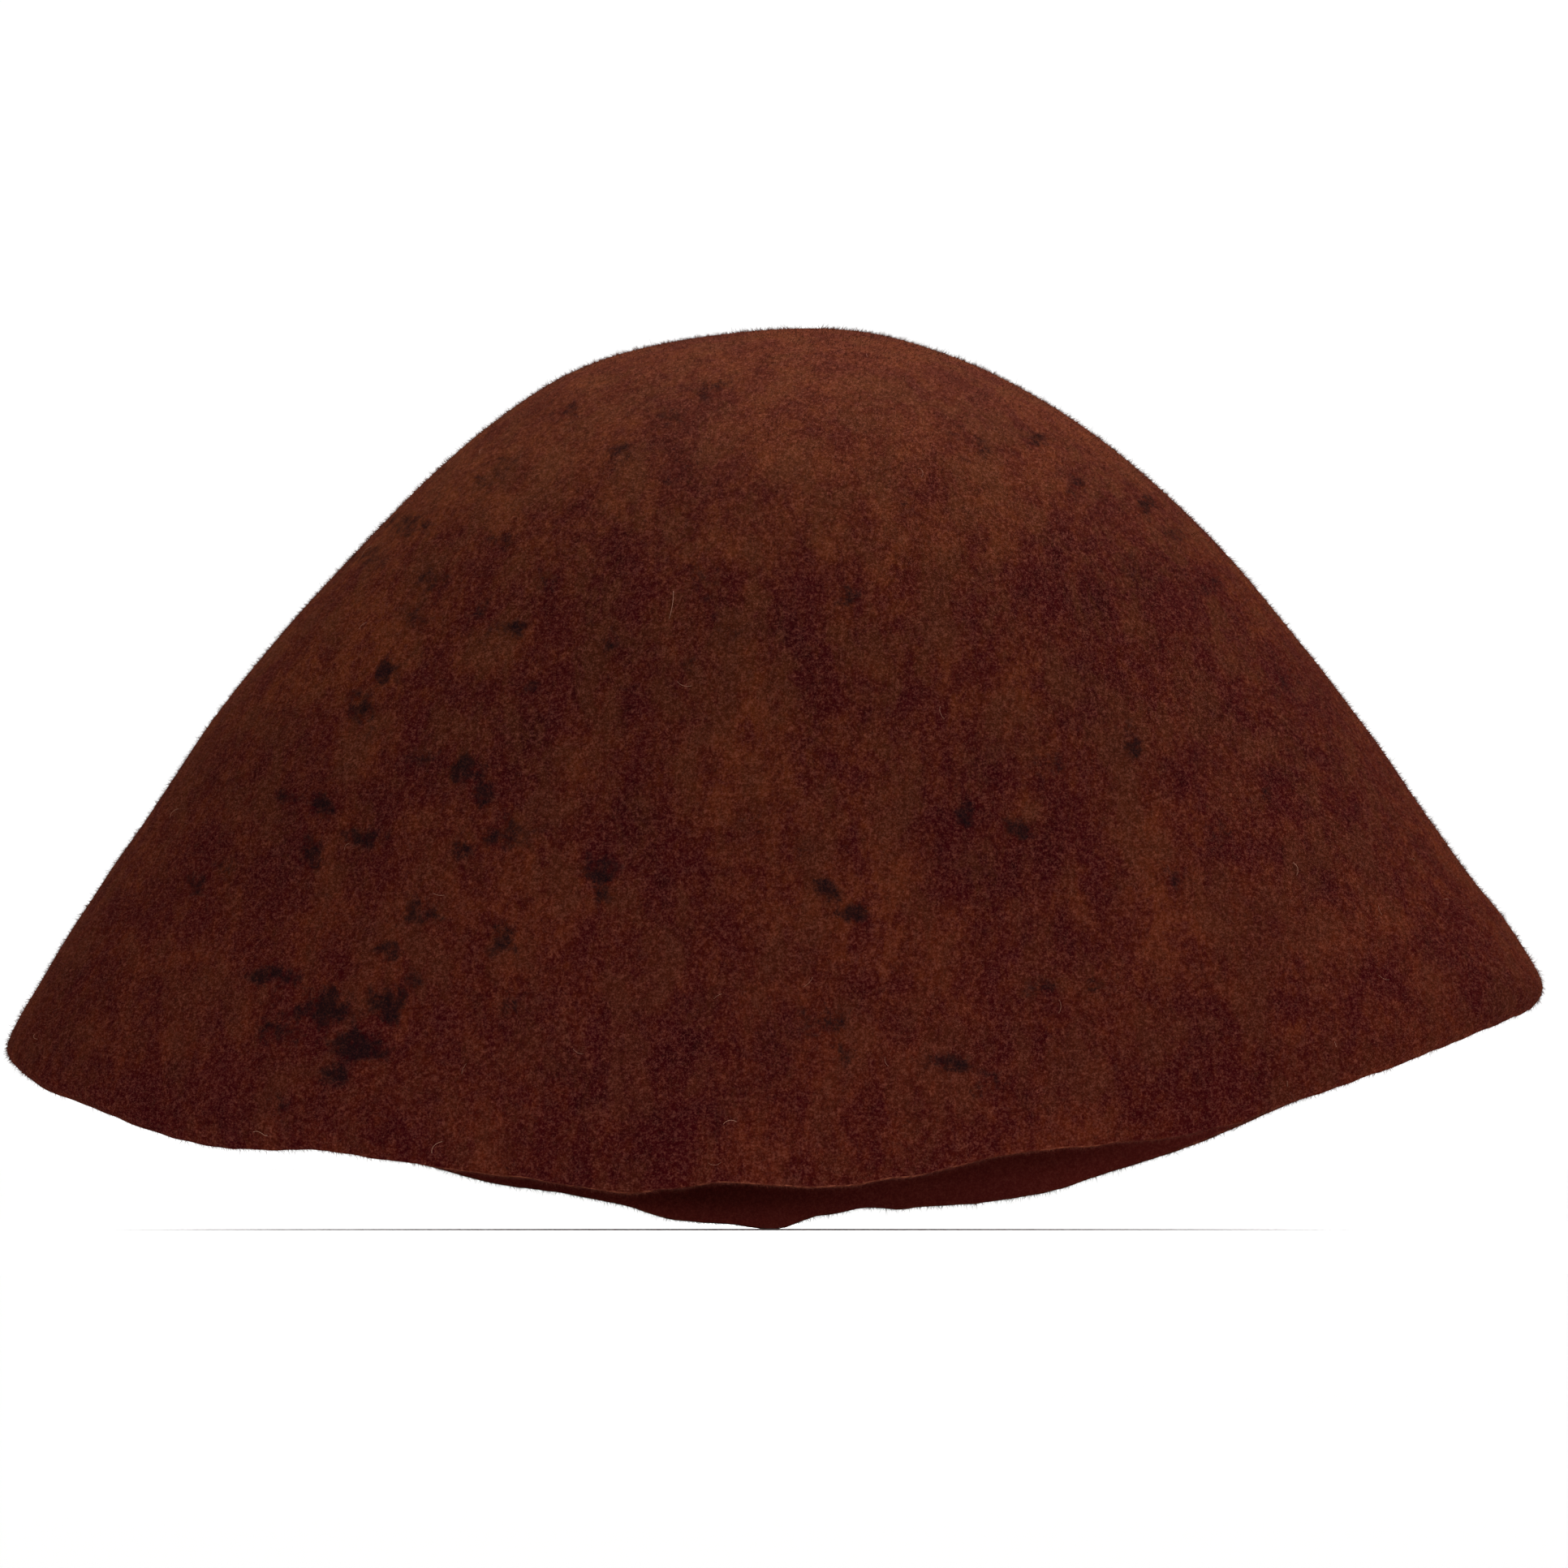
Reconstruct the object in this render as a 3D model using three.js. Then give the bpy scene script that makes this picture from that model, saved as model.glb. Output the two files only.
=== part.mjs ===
// A soft felt hat: one unblocked felt hood with a raw cut edge, and the fittings sewn inside its crown.
// Millimetres, +Z up through the crown. The wearer faces -Y, and +X is to the right as seen from the front.
// The origin is the middle of the footprint, on the surface that the lowest stretch of the edge stands on.

import * as THREE from 'three';

// ---- Driving dimensions ----

// The hood's outline seen from the front: [x, z] from the left fold over the crown to the right fold.
const sideOutline = [
  [-206.5, 44.5], [-210.5, 51], [-199, 71.5], [-188, 89], [-153, 141], [-116, 184.5], [-78, 220.5], [-43, 240],
  [10, 247.3],
  [48, 240], [84, 221], [120, 190], [155, 147], [188.5, 100], [200.8, 83.5], [210.3, 67.5], [207.5, 61],
];
const sideApexIndex = 8;

// The hood's outline seen from the side: [y, z] from the front edge over the crown to the back edge.
const depthOutline = [
  [-101.5, 12], [-100, 60], [-93, 120], [-83, 170], [-64, 212], [-36, 237.5],
  [-2, 247.3],
  [32, 238], [61, 213], [81, 171], [92, 120], [99, 60], [101.5, 3.12],
];
const depthApexIndex = 6;

// How far the raw edge wanders from those outlines: [degrees from +X towards +Y, millimetres upwards].
const edgeWander = [
  [0, 0.5], [30, 5.2], [42, 5], [54, 3.5], [70, 0], [79, 1], [83, 2.3], [86, 1.1], [90, -3], [96, -1.9],
  [103, 2.4], [112, 3.3], [122, 5], [150, 2], [180, 0], [200, -5], [220, -8], [236, -2], [248, -1.5],
  [259, -3], [266, 1], [275, 0.5], [290, 5], [304, 1.5], [318, 1.8], [330, 1.7],
];
const wanderStart = 0.5; // share of the slant where the wander begins to show

const feltThickness = 2.8;
const slant = 279; // length of felt from the crown's top to the edge
const headLine = 118; // slant length from the crown's top to the line that grips the head

const tipLength = 38; // slant length from the crown's top to the edge of the lining's tip
const liningThickness = 0.4;
const tapeThickness = 0.4;
const leatherThickness = 0.9;
const leatherWidth = 34;
const backGap = 1.4; // between the two ends of the sweatband
const reedRadius = 1;
const pipingRadius = 1.2;
const threadRadius = 0.3;
const bowRibbonWidth = 6;
const bowRibbonThickness = 0.4;
const bowLoopLength = 10;
const bowLoopHeight = 3.4;
const bowTailLength = 11;
const bowTailSpread = 0.6; // radians from straight down
const tagWidth = 16;
const tagHeight = 15;
const tagShown = 7; // how much of the tag stands above the leather
const tagAngle = 0.9; // radians from +X towards the back
const gap = 0.3; // clearance between pieces that touch
const liningSlack = 1.2; // how loosely the lining hangs inside the felt
const columns = 56; // facets round the hood and round every piece that follows it

// ---- Depths below the hood's outer skin at which the inner pieces lie ----

const liningDepth = feltThickness + liningSlack;
const tagDepth = liningDepth + liningThickness + gap;
const tagThickness = 0.3;
const leatherDepth = tagDepth + tagThickness + gap;
const leatherFace = leatherDepth + leatherThickness;

const turn = 2 * Math.PI;
const backAngle = Math.PI / 2;
const headLineRadius = 92; // mean radius of the oval that grips the head
const liningEnd = headLine - 10;
const tapeEnd = headLine + 5.5;

// ---- The hood's surface ----

// Splits a smooth outline at its highest point into two curves that run from there to the edge.
function halves(outline, apexIndex) {
  const curve = new THREE.SplineCurve(outline.map(([across, up]) => new THREE.Vector2(across, up)));
  const perPoint = 40;
  curve.arcLengthDivisions = perPoint * (outline.length - 1);
  const lengths = curve.getLengths();
  const apexShare = lengths[perPoint * apexIndex] / lengths[lengths.length - 1];
  return {
    low: (share) => curve.getPointAt(apexShare * (1 - share)),
    high: (share) => curve.getPointAt(apexShare + (1 - apexShare) * share),
  };
}

const sides = halves(sideOutline, sideApexIndex);
const depths = halves(depthOutline, depthApexIndex);

// The edge's wander at an angle, eased from each listed place to the next.
function wanderAt(angle) {
  const degrees = ((THREE.MathUtils.radToDeg(angle) % 360) + 360) % 360;
  const next = edgeWander.findIndex(([place]) => place > degrees);
  const [endPlace, endRise] = next < 0 ? [360, edgeWander[0][1]] : edgeWander[next];
  const [startPlace, startRise] = next < 0 ? edgeWander[edgeWander.length - 1] : edgeWander[next - 1];
  const share = THREE.MathUtils.smoothstep(degrees, startPlace, endPlace);
  return THREE.MathUtils.lerp(startRise, endRise, share);
}

// A point of the outer skin: share runs from 0 at the crown's top to 1 at the edge.
function skin(share, angle) {
  const left = sides.low(share);
  const right = sides.high(share);
  const front = depths.low(share);
  const back = depths.high(share);
  const c = Math.cos(angle);
  const s = Math.sin(angle);
  const x = (right.x + left.x) / 2 + ((right.x - left.x) / 2) * c;
  const y = (back.x + front.x) / 2 + ((back.x - front.x) / 2) * s;
  const sideHeight = (right.y + left.y) / 2 + ((right.y - left.y) / 2) * c;
  const depthHeight = (back.y + front.y) / 2 + ((back.y - front.y) / 2) * s;
  const wander = wanderAt(angle) * THREE.MathUtils.smoothstep(share, wanderStart, 1);
  return new THREE.Vector3(x, y, sideHeight * c * c + depthHeight * s * s + wander);
}

// The skin's inward normal and its downhill direction.
function skinFrame(share, angle) {
  const step = 0.004;
  const low = Math.max(share - step, step);
  const downhill = skin(Math.min(low + 2 * step, 1), angle).sub(skin(low, angle)).normalize();
  const around = skin(share, angle + step).sub(skin(share, angle - step)).normalize();
  const inward = around.clone().cross(downhill).normalize();
  return { downhill, around, inward };
}

// A point at a depth below the skin, on a piece's own side of the felt.
function below(share, angle, depth) {
  if (share === 0) return skin(0, 0).add(new THREE.Vector3(0, 0, -depth));
  return skin(share, angle).addScaledVector(skinFrame(share, angle).inward, depth);
}

const shareOf = (length) => length / slant;

// ---- Solids ----

function solidFrom(positions, index) {
  const geometry = new THREE.BufferGeometry();
  geometry.setAttribute('position', new THREE.Float32BufferAttribute(positions, 3));
  geometry.setIndex(index);
  geometry.computeVertexNormals();
  return geometry;
}

// A closed solid between two sheets of points. A wrapping solid goes right round.
// A domed one closes at the top.
function solidBetween({ outside, inside, rows, columns: across, wraps, domed }) {
  const positions = [];
  const index = [];
  const sheets = [outside, inside].map((sheet) => {
    const numbers = [];
    for (let row = 0; row <= rows; row += 1) {
      const line = [];
      for (let column = 0; column < across + (wraps ? 0 : 1); column += 1) {
        if (domed && row === 0 && column > 0) {
          line.push(line[0]);
        } else {
          positions.push(...sheet(row / rows, column / across).toArray());
          line.push(positions.length / 3 - 1);
        }
      }
      if (wraps) line.push(line[0]);
      numbers.push(line);
    }
    return numbers;
  });
  const triangle = (a, b, c) => {
    if (a !== b && b !== c && c !== a) index.push(a, b, c);
  };
  const quad = (a, b, c, d) => {
    triangle(a, b, c);
    triangle(a, c, d);
  };
  const [out, inn] = sheets;
  for (let row = 0; row < rows; row += 1) {
    for (let column = 0; column < across; column += 1) {
      const o = [out[row][column], out[row][column + 1], out[row + 1][column + 1], out[row + 1][column]];
      const i = [inn[row][column], inn[row][column + 1], inn[row + 1][column + 1], inn[row + 1][column]];
      quad(o[0], o[3], o[2], o[1]);
      quad(i[1], i[2], i[3], i[0]);
    }
  }
  for (let column = 0; column < across; column += 1) {
    if (!domed) quad(out[0][column], out[0][column + 1], inn[0][column + 1], inn[0][column]);
    quad(out[rows][column + 1], out[rows][column], inn[rows][column], inn[rows][column + 1]);
  }
  if (!wraps) {
    for (let row = 0; row < rows; row += 1) {
      quad(out[row + 1][0], out[row][0], inn[row][0], inn[row + 1][0]);
      quad(out[row][across], out[row + 1][across], inn[row + 1][across], inn[row][across]);
    }
  }
  return solidFrom(positions, index);
}

// A sheet that follows the hood at a depth, between two slant lengths and two angles.
function layer({ depth, thickness, from, to, rows, startAngle = 0, endAngle = turn, facets = columns }) {
  const sheet = (sheetDepth) => (down, along) =>
    below(
      THREE.MathUtils.lerp(shareOf(from), shareOf(to), down),
      THREE.MathUtils.lerp(startAngle, endAngle, along),
      sheetDepth,
    );
  return solidBetween({
    outside: sheet(depth),
    inside: sheet(depth + thickness),
    rows,
    columns: facets,
    wraps: endAngle - startAngle === turn,
    domed: from === 0,
  });
}

// A polygon near a circle, as the section of a cord.
function roundSection(radius, facets) {
  const corners = [];
  for (let facet = 0; facet < facets; facet += 1) {
    const turned = (turn * facet) / facets;
    corners.push(new THREE.Vector2(radius * Math.cos(turned), radius * Math.sin(turned)));
  }
  return new THREE.Shape(corners);
}

// An open cord along a smooth path through the points.
function openCord(points, radius, facets, steps, tension = 0.5) {
  const extrudePath = new THREE.CatmullRomCurve3(points, false, 'catmullrom', tension);
  return new THREE.ExtrudeGeometry(roundSection(radius, facets), { steps, extrudePath, bevelEnabled: false });
}

// A cord that follows the hood round from the back to the back, stopping short of it on both sides.
function cordAround({ lengthAt, depth, radius, facets, steps, startAngle }) {
  const points = [];
  for (let step = 0; step <= steps; step += 1) {
    const along = step / steps;
    const angle = backAngle + THREE.MathUtils.lerp(startAngle, turn - startAngle, along);
    points.push(below(shareOf(lengthAt(along)), angle, depth));
  }
  return openCord(points, radius, facets, steps);
}

// A cord that closes on itself all round the hood.
function closedCord({ length, depth, radius, facets, steps }) {
  const share = shareOf(length);
  const sectionPoint = (step, facet) => {
    const angle = turn * step;
    const { downhill, inward } = skinFrame(share, angle);
    const point = below(share, angle, depth);
    point.addScaledVector(inward, radius * Math.cos(turn * facet));
    return point.addScaledVector(downhill, radius * Math.sin(turn * facet));
  };
  const positions = [];
  const index = [];
  const number = (step, facet) => (step % steps) * facets + (facet % facets);
  for (let step = 0; step < steps; step += 1) {
    for (let facet = 0; facet < facets; facet += 1) {
      positions.push(...sectionPoint(step / steps, facet / facets).toArray());
      const near = [number(step, facet), number(step, facet + 1)];
      const far = [number(step + 1, facet), number(step + 1, facet + 1)];
      index.push(near[0], far[1], near[1], near[0], far[0], far[1]);
    }
  }
  return solidFrom(positions, index);
}

// ---- Materials ----

const matte = (color, roughness) => new THREE.MeshStandardMaterial({ color, roughness, metalness: 0 });
const felt = matte(0x431c14, 0.95);
const leather = matte(0x7a4a2a, 0.55);
const satin = matte(0x6e4a34, 0.35);
const tape = matte(0x2c1f19, 0.8);
const thread = matte(0xa88a62, 0.7);
const ribbon = matte(0x36201a, 0.5);
const paper = matte(0xd9cfb8, 0.85);

const part = new THREE.Group();

function add(name, geometry, material, parent = part) {
  const mesh = new THREE.Mesh(geometry, material);
  mesh.name = name;
  parent.add(mesh);
}

// ---- Pieces ----

// The whole outside of the hat: one piece of felt, open below.
function feltHood() {
  add('felt_hood', layer({ depth: 0, thickness: feltThickness, from: 0, to: slant, rows: 20 }), felt);
}

// The satin lining: an oval tip, a side band whose lower edge hides behind the leather, and their seam cord.
function lining() {
  const satinLayer = { depth: liningDepth, thickness: liningThickness };
  add('lining_tip', layer({ ...satinLayer, from: 0, to: tipLength, rows: 5 }), satin);
  add('lining_side', layer({ ...satinLayer, from: tipLength + gap, to: liningEnd, rows: 7 }), satin);
  const piping = closedCord({
    length: tipLength,
    depth: tagDepth + pipingRadius,
    radius: pipingRadius,
    facets: 6,
    steps: columns,
  });
  add('lining_piping', piping, satin);
}

// The leather sweatband, a strip whose two ends meet at the back.
function sweatband() {
  const halfGap = backGap / 2 / headLineRadius;
  const strip = layer({
    depth: leatherDepth,
    thickness: leatherThickness,
    from: headLine - leatherWidth,
    to: headLine,
    rows: 3,
    startAngle: backAngle + halfGap,
    endAngle: backAngle + turn - halfGap,
  });
  add('sweatband', strip, leather);
}

// The cord that stiffens the leather's lower edge, and the tape that carries both and is tacked to the felt.
function reed() {
  const reedLine = headLine + gap + reedRadius;
  const cord = cordAround({
    lengthAt: () => reedLine,
    depth: leatherDepth + reedRadius,
    radius: reedRadius,
    facets: 8,
    steps: 72,
    startAngle: 0.04,
  });
  add('sweatband_reed', cord, tape);
  const tapeLayer = { depth: liningDepth, thickness: tapeThickness, rows: 2 };
  add('reed_tape', layer({ ...tapeLayer, from: liningEnd + gap, to: tapeEnd }), tape);
}

// The zigzag seam that holds the leather to its tape, one thread all round.
function zigzagSeam() {
  const zigzags = 110;
  const reach = 2;
  const seam = cordAround({
    lengthAt: (along) => headLine - 3 - reach * (Math.round(along * 2 * zigzags) % 2),
    depth: leatherFace + gap + threadRadius,
    radius: threadRadius,
    facets: 4,
    steps: 2 * zigzags,
    startAngle: 0.05,
  });
  add('sweatband_seam', seam, thread);
}

// The hand stitches that tack the tape to the felt, one thread in a shallow wave.
function tacking() {
  const stitches = 40;
  const wave = 0.5;
  const tack = cordAround({
    lengthAt: (along) => tapeEnd - 1.6 + wave * Math.sin(turn * stitches * along),
    depth: liningDepth + tapeThickness + gap + threadRadius,
    radius: threadRadius,
    facets: 4,
    steps: 4 * stitches,
    startAngle: 0.05,
  });
  add('tacking_thread', tack, thread);
}

// The lacing that draws the leather's two ends together.
function backLacing() {
  const crossings = 9;
  const reach = 2.2;
  const top = headLine - leatherWidth + 3;
  const bottom = headLine - 8;
  const points = [];
  for (let crossing = 0; crossing <= crossings; crossing += 1) {
    const length = THREE.MathUtils.lerp(top, bottom, crossing / crossings);
    const sideways = crossing % 2 ? reach : -reach;
    const { around } = skinFrame(shareOf(length), backAngle);
    const point = below(shareOf(length), backAngle, leatherFace + gap + 2 * threadRadius);
    points.push(point.addScaledVector(around, sideways));
  }
  add('back_lacing', openCord(points, threadRadius, 4, 6 * crossings, 0.2), thread);
}

// The small flat bow over the lacing. Its group has x along the band, y downhill and z off the leather.
function bow() {
  const length = headLine - 20;
  const { around, downhill, inward } = skinFrame(shareOf(length), backAngle);
  const group = new THREE.Group();
  group.position.copy(below(shareOf(length), backAngle, leatherFace));
  group.quaternion.setFromRotationMatrix(new THREE.Matrix4().makeBasis(around, downhill, inward));
  part.add(group);

  const tailLift = 1.4;
  const loopLift = tailLift + bowRibbonThickness + gap;
  const knotHalfWidth = 2;
  const alongBand = (shape, width) => {
    const options = { depth: width, bevelEnabled: false, curveSegments: 10 };
    const geometry = new THREE.ExtrudeGeometry(shape, options);
    return geometry.rotateX(Math.PI / 2).translate(0, width / 2, 0);
  };
  const ellipse = (centre, height, halfWidth, halfHeight) =>
    new THREE.Shape().absellipse(centre, height, halfWidth, halfHeight, 0, turn);

  const knotHeight = loopLift + bowLoopHeight / 2;
  const knot = ellipse(0, knotHeight, knotHalfWidth, bowLoopHeight / 2);
  add('bow_knot', alongBand(knot, bowRibbonWidth + 1), ribbon, group);

  for (const [name, side] of [['left', -1], ['right', 1]]) {
    const centre = side * (knotHalfWidth + gap + bowLoopLength / 2);
    const loop = ellipse(centre, knotHeight, bowLoopLength / 2, bowLoopHeight / 2);
    const hollow = [bowLoopLength / 2 - bowRibbonThickness, bowLoopHeight / 2 - bowRibbonThickness];
    loop.holes.push(new THREE.Path().absellipse(centre, knotHeight, ...hollow, 0, turn));
    add(`bow_${name}_loop`, alongBand(loop, bowRibbonWidth), ribbon, group);

    const half = bowRibbonWidth / 2;
    const notch = bowTailLength - half;
    const outline = [[-half, 0], [half, 0], [half, bowTailLength], [0, notch], [-half, bowTailLength]];
    const tailShape = new THREE.Shape(outline.map(([x, y]) => new THREE.Vector2(x, y)));
    const tail = new THREE.ExtrudeGeometry(tailShape, { depth: bowRibbonThickness, bevelEnabled: false });
    tail.rotateZ(-side * bowTailSpread).translate(side * (half + 0.4), 1, tailLift);
    add(`bow_${name}_tail`, tail, ribbon, group);
  }
}

// The blank size tag, tucked behind the leather so that its upper end shows.
function sizeTag() {
  const halfTurn = tagWidth / 2 / headLineRadius;
  const upper = headLine - leatherWidth - tagShown;
  const tag = layer({
    depth: tagDepth,
    thickness: tagThickness,
    from: upper,
    to: upper + tagHeight,
    rows: 2,
    startAngle: tagAngle - halfTurn,
    endAngle: tagAngle + halfTurn,
    facets: 4,
  });
  add('size_tag', tag, paper);
}

feltHood();
lining();
sweatband();
reed();
zigzagSeam();
tacking();
backLacing();
bow();
sizeTag();

export default part;
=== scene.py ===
"""A soft, unblocked felt hat: the mottled felt hood, and the fittings sewn inside its crown."""

import math

import bmesh
import bpy
import numpy as np
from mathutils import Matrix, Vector, noise


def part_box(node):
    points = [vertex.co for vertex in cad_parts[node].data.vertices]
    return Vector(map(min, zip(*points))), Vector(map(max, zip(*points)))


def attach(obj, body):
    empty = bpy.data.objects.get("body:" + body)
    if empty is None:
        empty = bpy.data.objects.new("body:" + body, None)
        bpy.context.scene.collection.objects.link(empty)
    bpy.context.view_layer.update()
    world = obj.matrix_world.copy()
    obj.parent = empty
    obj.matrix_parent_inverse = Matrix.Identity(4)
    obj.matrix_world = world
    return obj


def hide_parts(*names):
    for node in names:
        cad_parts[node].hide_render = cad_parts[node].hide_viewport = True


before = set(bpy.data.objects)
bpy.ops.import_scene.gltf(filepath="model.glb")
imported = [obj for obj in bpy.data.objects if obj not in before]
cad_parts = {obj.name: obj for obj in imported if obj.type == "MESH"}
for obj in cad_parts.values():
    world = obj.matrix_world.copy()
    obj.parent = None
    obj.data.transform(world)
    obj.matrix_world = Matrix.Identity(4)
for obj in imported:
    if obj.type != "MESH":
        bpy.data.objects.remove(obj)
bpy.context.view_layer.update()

TURN = 2 * math.pi
BACK = math.pi / 2

# ---- The hood's surface, in the CAD model's millimetres ----

# The outline from the front, (x, z): from the left corner over the crown to the right corner.
SIDE_OUTLINE = [
    (-206.5, 44.5), (-210.5, 51), (-199, 71.5), (-188, 89), (-153, 141), (-116, 184.5), (-78, 220.5),
    (-43, 240), (10, 247.3),
    (48, 240), (84, 221), (120, 190), (155, 147), (188.5, 100), (200.8, 83.5), (210.3, 67.5), (207.5, 61),
]
SIDE_APEX = 8  # the crown's top among the outline's points
# The outline from the side, (y, z): from the front edge over the crown to the back edge.
DEPTH_OUTLINE = [
    (-101.5, 12), (-100, 60), (-93, 120), (-83, 170), (-64, 212), (-36, 237.5),
    (-2, 247.3),
    (32, 238), (61, 213), (81, 171), (92, 120), (99, 60), (101.5, 3.12),
]
DEPTH_APEX = 6
# How far the raw edge wanders: (degrees from +X towards +Y, millimetres upwards).
EDGE_WANDER = [
    (0, 0.5), (30, 5.2), (42, 5), (54, 3.5), (70, 0), (79, 1), (83, 2.3), (86, 1.1), (90, -3), (96, -1.9),
    (103, 2.4), (112, 3.3), (122, 5), (150, 2), (180, 0), (200, -5), (220, -8), (236, -2), (248, -1.5),
    (259, -3), (266, 1), (275, 0.5), (290, 5), (304, 1.5), (318, 1.8), (330, 1.7), (360, 0.5),
]
WANDER_START = 0.5  # share of the slant below which the edge's wander shows
RUFFLE_START = 0.9  # share of the slant below which its fine ruffle shows
HOOD_HEIGHT = 247.3
SLANT = 279  # from the crown's top to the edge
FELT = 2.8
HEAD_LINE = 118  # slant length down to the leather's lower edge
LEATHER_WIDTH = 34

hood_low, hood_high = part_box("felt_hood")
MM = (hood_high[2] - hood_low[2]) / HOOD_HEIGHT


def smoothstep(value, low, high):
    share = np.clip((np.asarray(value, float) - low) / (high - low), 0, 1)
    return share * share * (3 - 2 * share)


def smooth_curve(points, steps, pull):
    """A curve through points, in steps between each two; pull is how far each point's neighbours swing it."""
    points = np.asarray(points, float)
    last = len(points) - 1
    t = (np.arange(steps) / steps)[:, None]
    spans = []
    for i in range(last):
        before, start, end, after = (points[min(max(k, 0), last)] for k in (i - 1, i, i + 1, i + 2))
        leave = (end - before) * pull
        arrive = (after - start) * pull
        cubic = 2 * start - 2 * end + leave + arrive
        square = -3 * start + 3 * end - 2 * leave - arrive
        spans.append(cubic * t**3 + square * t**2 + leave * t + start)
    return np.vstack(spans + [points[-1:]])


def run_lengths(path):
    """The length run along a path up to each of its points."""
    return np.concatenate([[0], np.cumsum(np.linalg.norm(np.diff(path, axis=0), axis=1))])


def halves(outline, apex):
    """Two functions from a share of the way, from the outline's top to its first and last point."""
    steps = 60
    dense = smooth_curve(outline, steps, 0.5)
    run = run_lengths(dense)
    top = run[steps * apex]

    def at(length):
        return np.interp(length, run, dense[:, 0]), np.interp(length, run, dense[:, 1])

    def before_top(share):
        return at(top * (1 - share))

    def after_top(share):
        return at(top + (run[-1] - top) * share)

    return before_top, after_top


left_outline, right_outline = halves(SIDE_OUTLINE, SIDE_APEX)
front_outline, back_outline = halves(DEPTH_OUTLINE, DEPTH_APEX)


def wander(angle):
    """How far the raw edge stands above its smooth outline at angles."""
    degrees = np.degrees(angle) % 360
    places = np.array([place for place, _ in EDGE_WANDER], float)
    rises = np.array([rise for _, rise in EDGE_WANDER], float)
    i = np.clip(np.searchsorted(places, degrees, side="right") - 1, 0, len(places) - 2)
    share = np.clip((degrees - places[i]) / (places[i + 1] - places[i]), 0, 1)
    eased = share * share * (3 - 2 * share)
    return rises[i] + (rises[i + 1] - rises[i]) * eased


def skin(share, angle):
    """Points of the outer skin: share runs from 0 at the crown's top to 1 at the edge."""
    share, angle = np.broadcast_arrays(np.asarray(share, float), np.asarray(angle, float))
    left, right = left_outline(share), right_outline(share)
    front, back = front_outline(share), back_outline(share)
    c, s = np.cos(angle), np.sin(angle)
    x = (right[0] + left[0]) / 2 + (right[0] - left[0]) / 2 * c
    y = (back[0] + front[0]) / 2 + (back[0] - front[0]) / 2 * s
    side_height = (right[1] + left[1]) / 2 + (right[1] - left[1]) / 2 * c
    depth_height = (back[1] + front[1]) / 2 + (back[1] - front[1]) / 2 * s
    rise = wander(angle) * smoothstep(share, WANDER_START, 1)
    return np.stack([x, y, side_height * c * c + depth_height * s * s + rise], -1)


def unit(vectors):
    return vectors / np.linalg.norm(vectors, axis=-1, keepdims=True)


def skin_frame(share, angle):
    """Directions at points of the skin: downhill, around and inward."""
    step = 0.004
    low = np.maximum(np.asarray(share, float) - step, step)
    downhill = unit(skin(np.minimum(low + 2 * step, 1), angle) - skin(low, angle))
    around = unit(skin(share, angle + step) - skin(share, angle - step))
    inward = unit(np.cross(around, downhill))
    return downhill, around, inward


def below(length, angle, depth):
    """Points at a slant length, an angle and a depth below the skin."""
    share = np.maximum(np.asarray(length, float) / SLANT, 0.002)
    inward = skin_frame(share, angle)[2]
    return skin(share, angle) + inward * np.asarray(depth, float)[..., None]


def wobble(points, size, seed=0.0):
    """Smooth noise from -1 to 1 at points, with features of a size in millimetres."""
    flat = points.reshape(-1, 3) / size + seed
    values = np.fromiter((noise.noise(Vector(p)) for p in flat), float, len(flat))
    return values.reshape(points.shape[:-1])


# ---- Making mesh objects ----


def mesh_object(name, points, faces, smooth=True, turn=True):
    """A mesh object from points in CAD millimetres, its faces turned to point outwards."""
    mesh = bpy.data.meshes.new(name)
    places = (np.asarray(points, float) * MM).reshape(-1, 3)
    mesh.from_pydata(places.tolist(), [], [list(face) for face in faces])
    mesh.validate()
    if turn:
        solid = bmesh.new()
        solid.from_mesh(mesh)
        bmesh.ops.recalc_face_normals(solid, faces=solid.faces)
        solid.to_mesh(mesh)
        solid.free()
    mesh.polygons.foreach_set("use_smooth", [smooth] * len(mesh.polygons))
    mesh.update()
    piece = bpy.data.objects.new(name, mesh)
    bpy.context.scene.collection.objects.link(piece)
    return piece


def grid_faces(rows, columns, wraps, first=0, flip=False):
    """Quads over a grid of rows x columns points, numbered row by row from first."""
    row = np.arange(rows - 1)[:, None] * columns
    across = columns if wraps else columns - 1
    near = np.arange(across)[None, :]
    far = (near + 1) % columns
    quads = np.stack([row + near, row + columns + near, row + columns + far, row + far], -1)
    quads = quads.reshape(-1, 4) + first
    return quads[:, ::-1] if flip else quads


def ring_faces(count, sides, wraps, first=0):
    """The faces of a closed solid through rings of points, joined in a loop or capped at both ends."""
    faces = []
    for i in range(count if wraps else count - 1):
        j = (i + 1) % count
        for k in range(sides):
            m = (k + 1) % sides
            faces.append((i * sides + k, i * sides + m, j * sides + m, j * sides + k))
    if not wraps:
        faces.append(tuple(reversed(range(sides))))
        faces.append(tuple(range((count - 1) * sides, count * sides)))
    return [tuple(corner + first for corner in face) for face in faces]


def loft(name, rings, wraps):
    """A closed solid through rings of points."""
    return mesh_object(name, rings.reshape(-1, 3), ring_faces(*rings.shape[:2], wraps))


def dome(name, rings, poles):
    """A closed shell from rings that go down its outside and up its inside, and the top point of each."""
    count, columns = rings.shape[:2]
    faces = grid_faces(count, columns, True).tolist()
    outer_pole = count * columns
    last = (count - 1) * columns
    for i in range(columns):
        j = (i + 1) % columns
        faces.append((outer_pole, i, j))
        faces.append((outer_pole + 1, last + j, last + i))
    return mesh_object(name, np.vstack([rings.reshape(-1, 3), poles]), faces)


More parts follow.
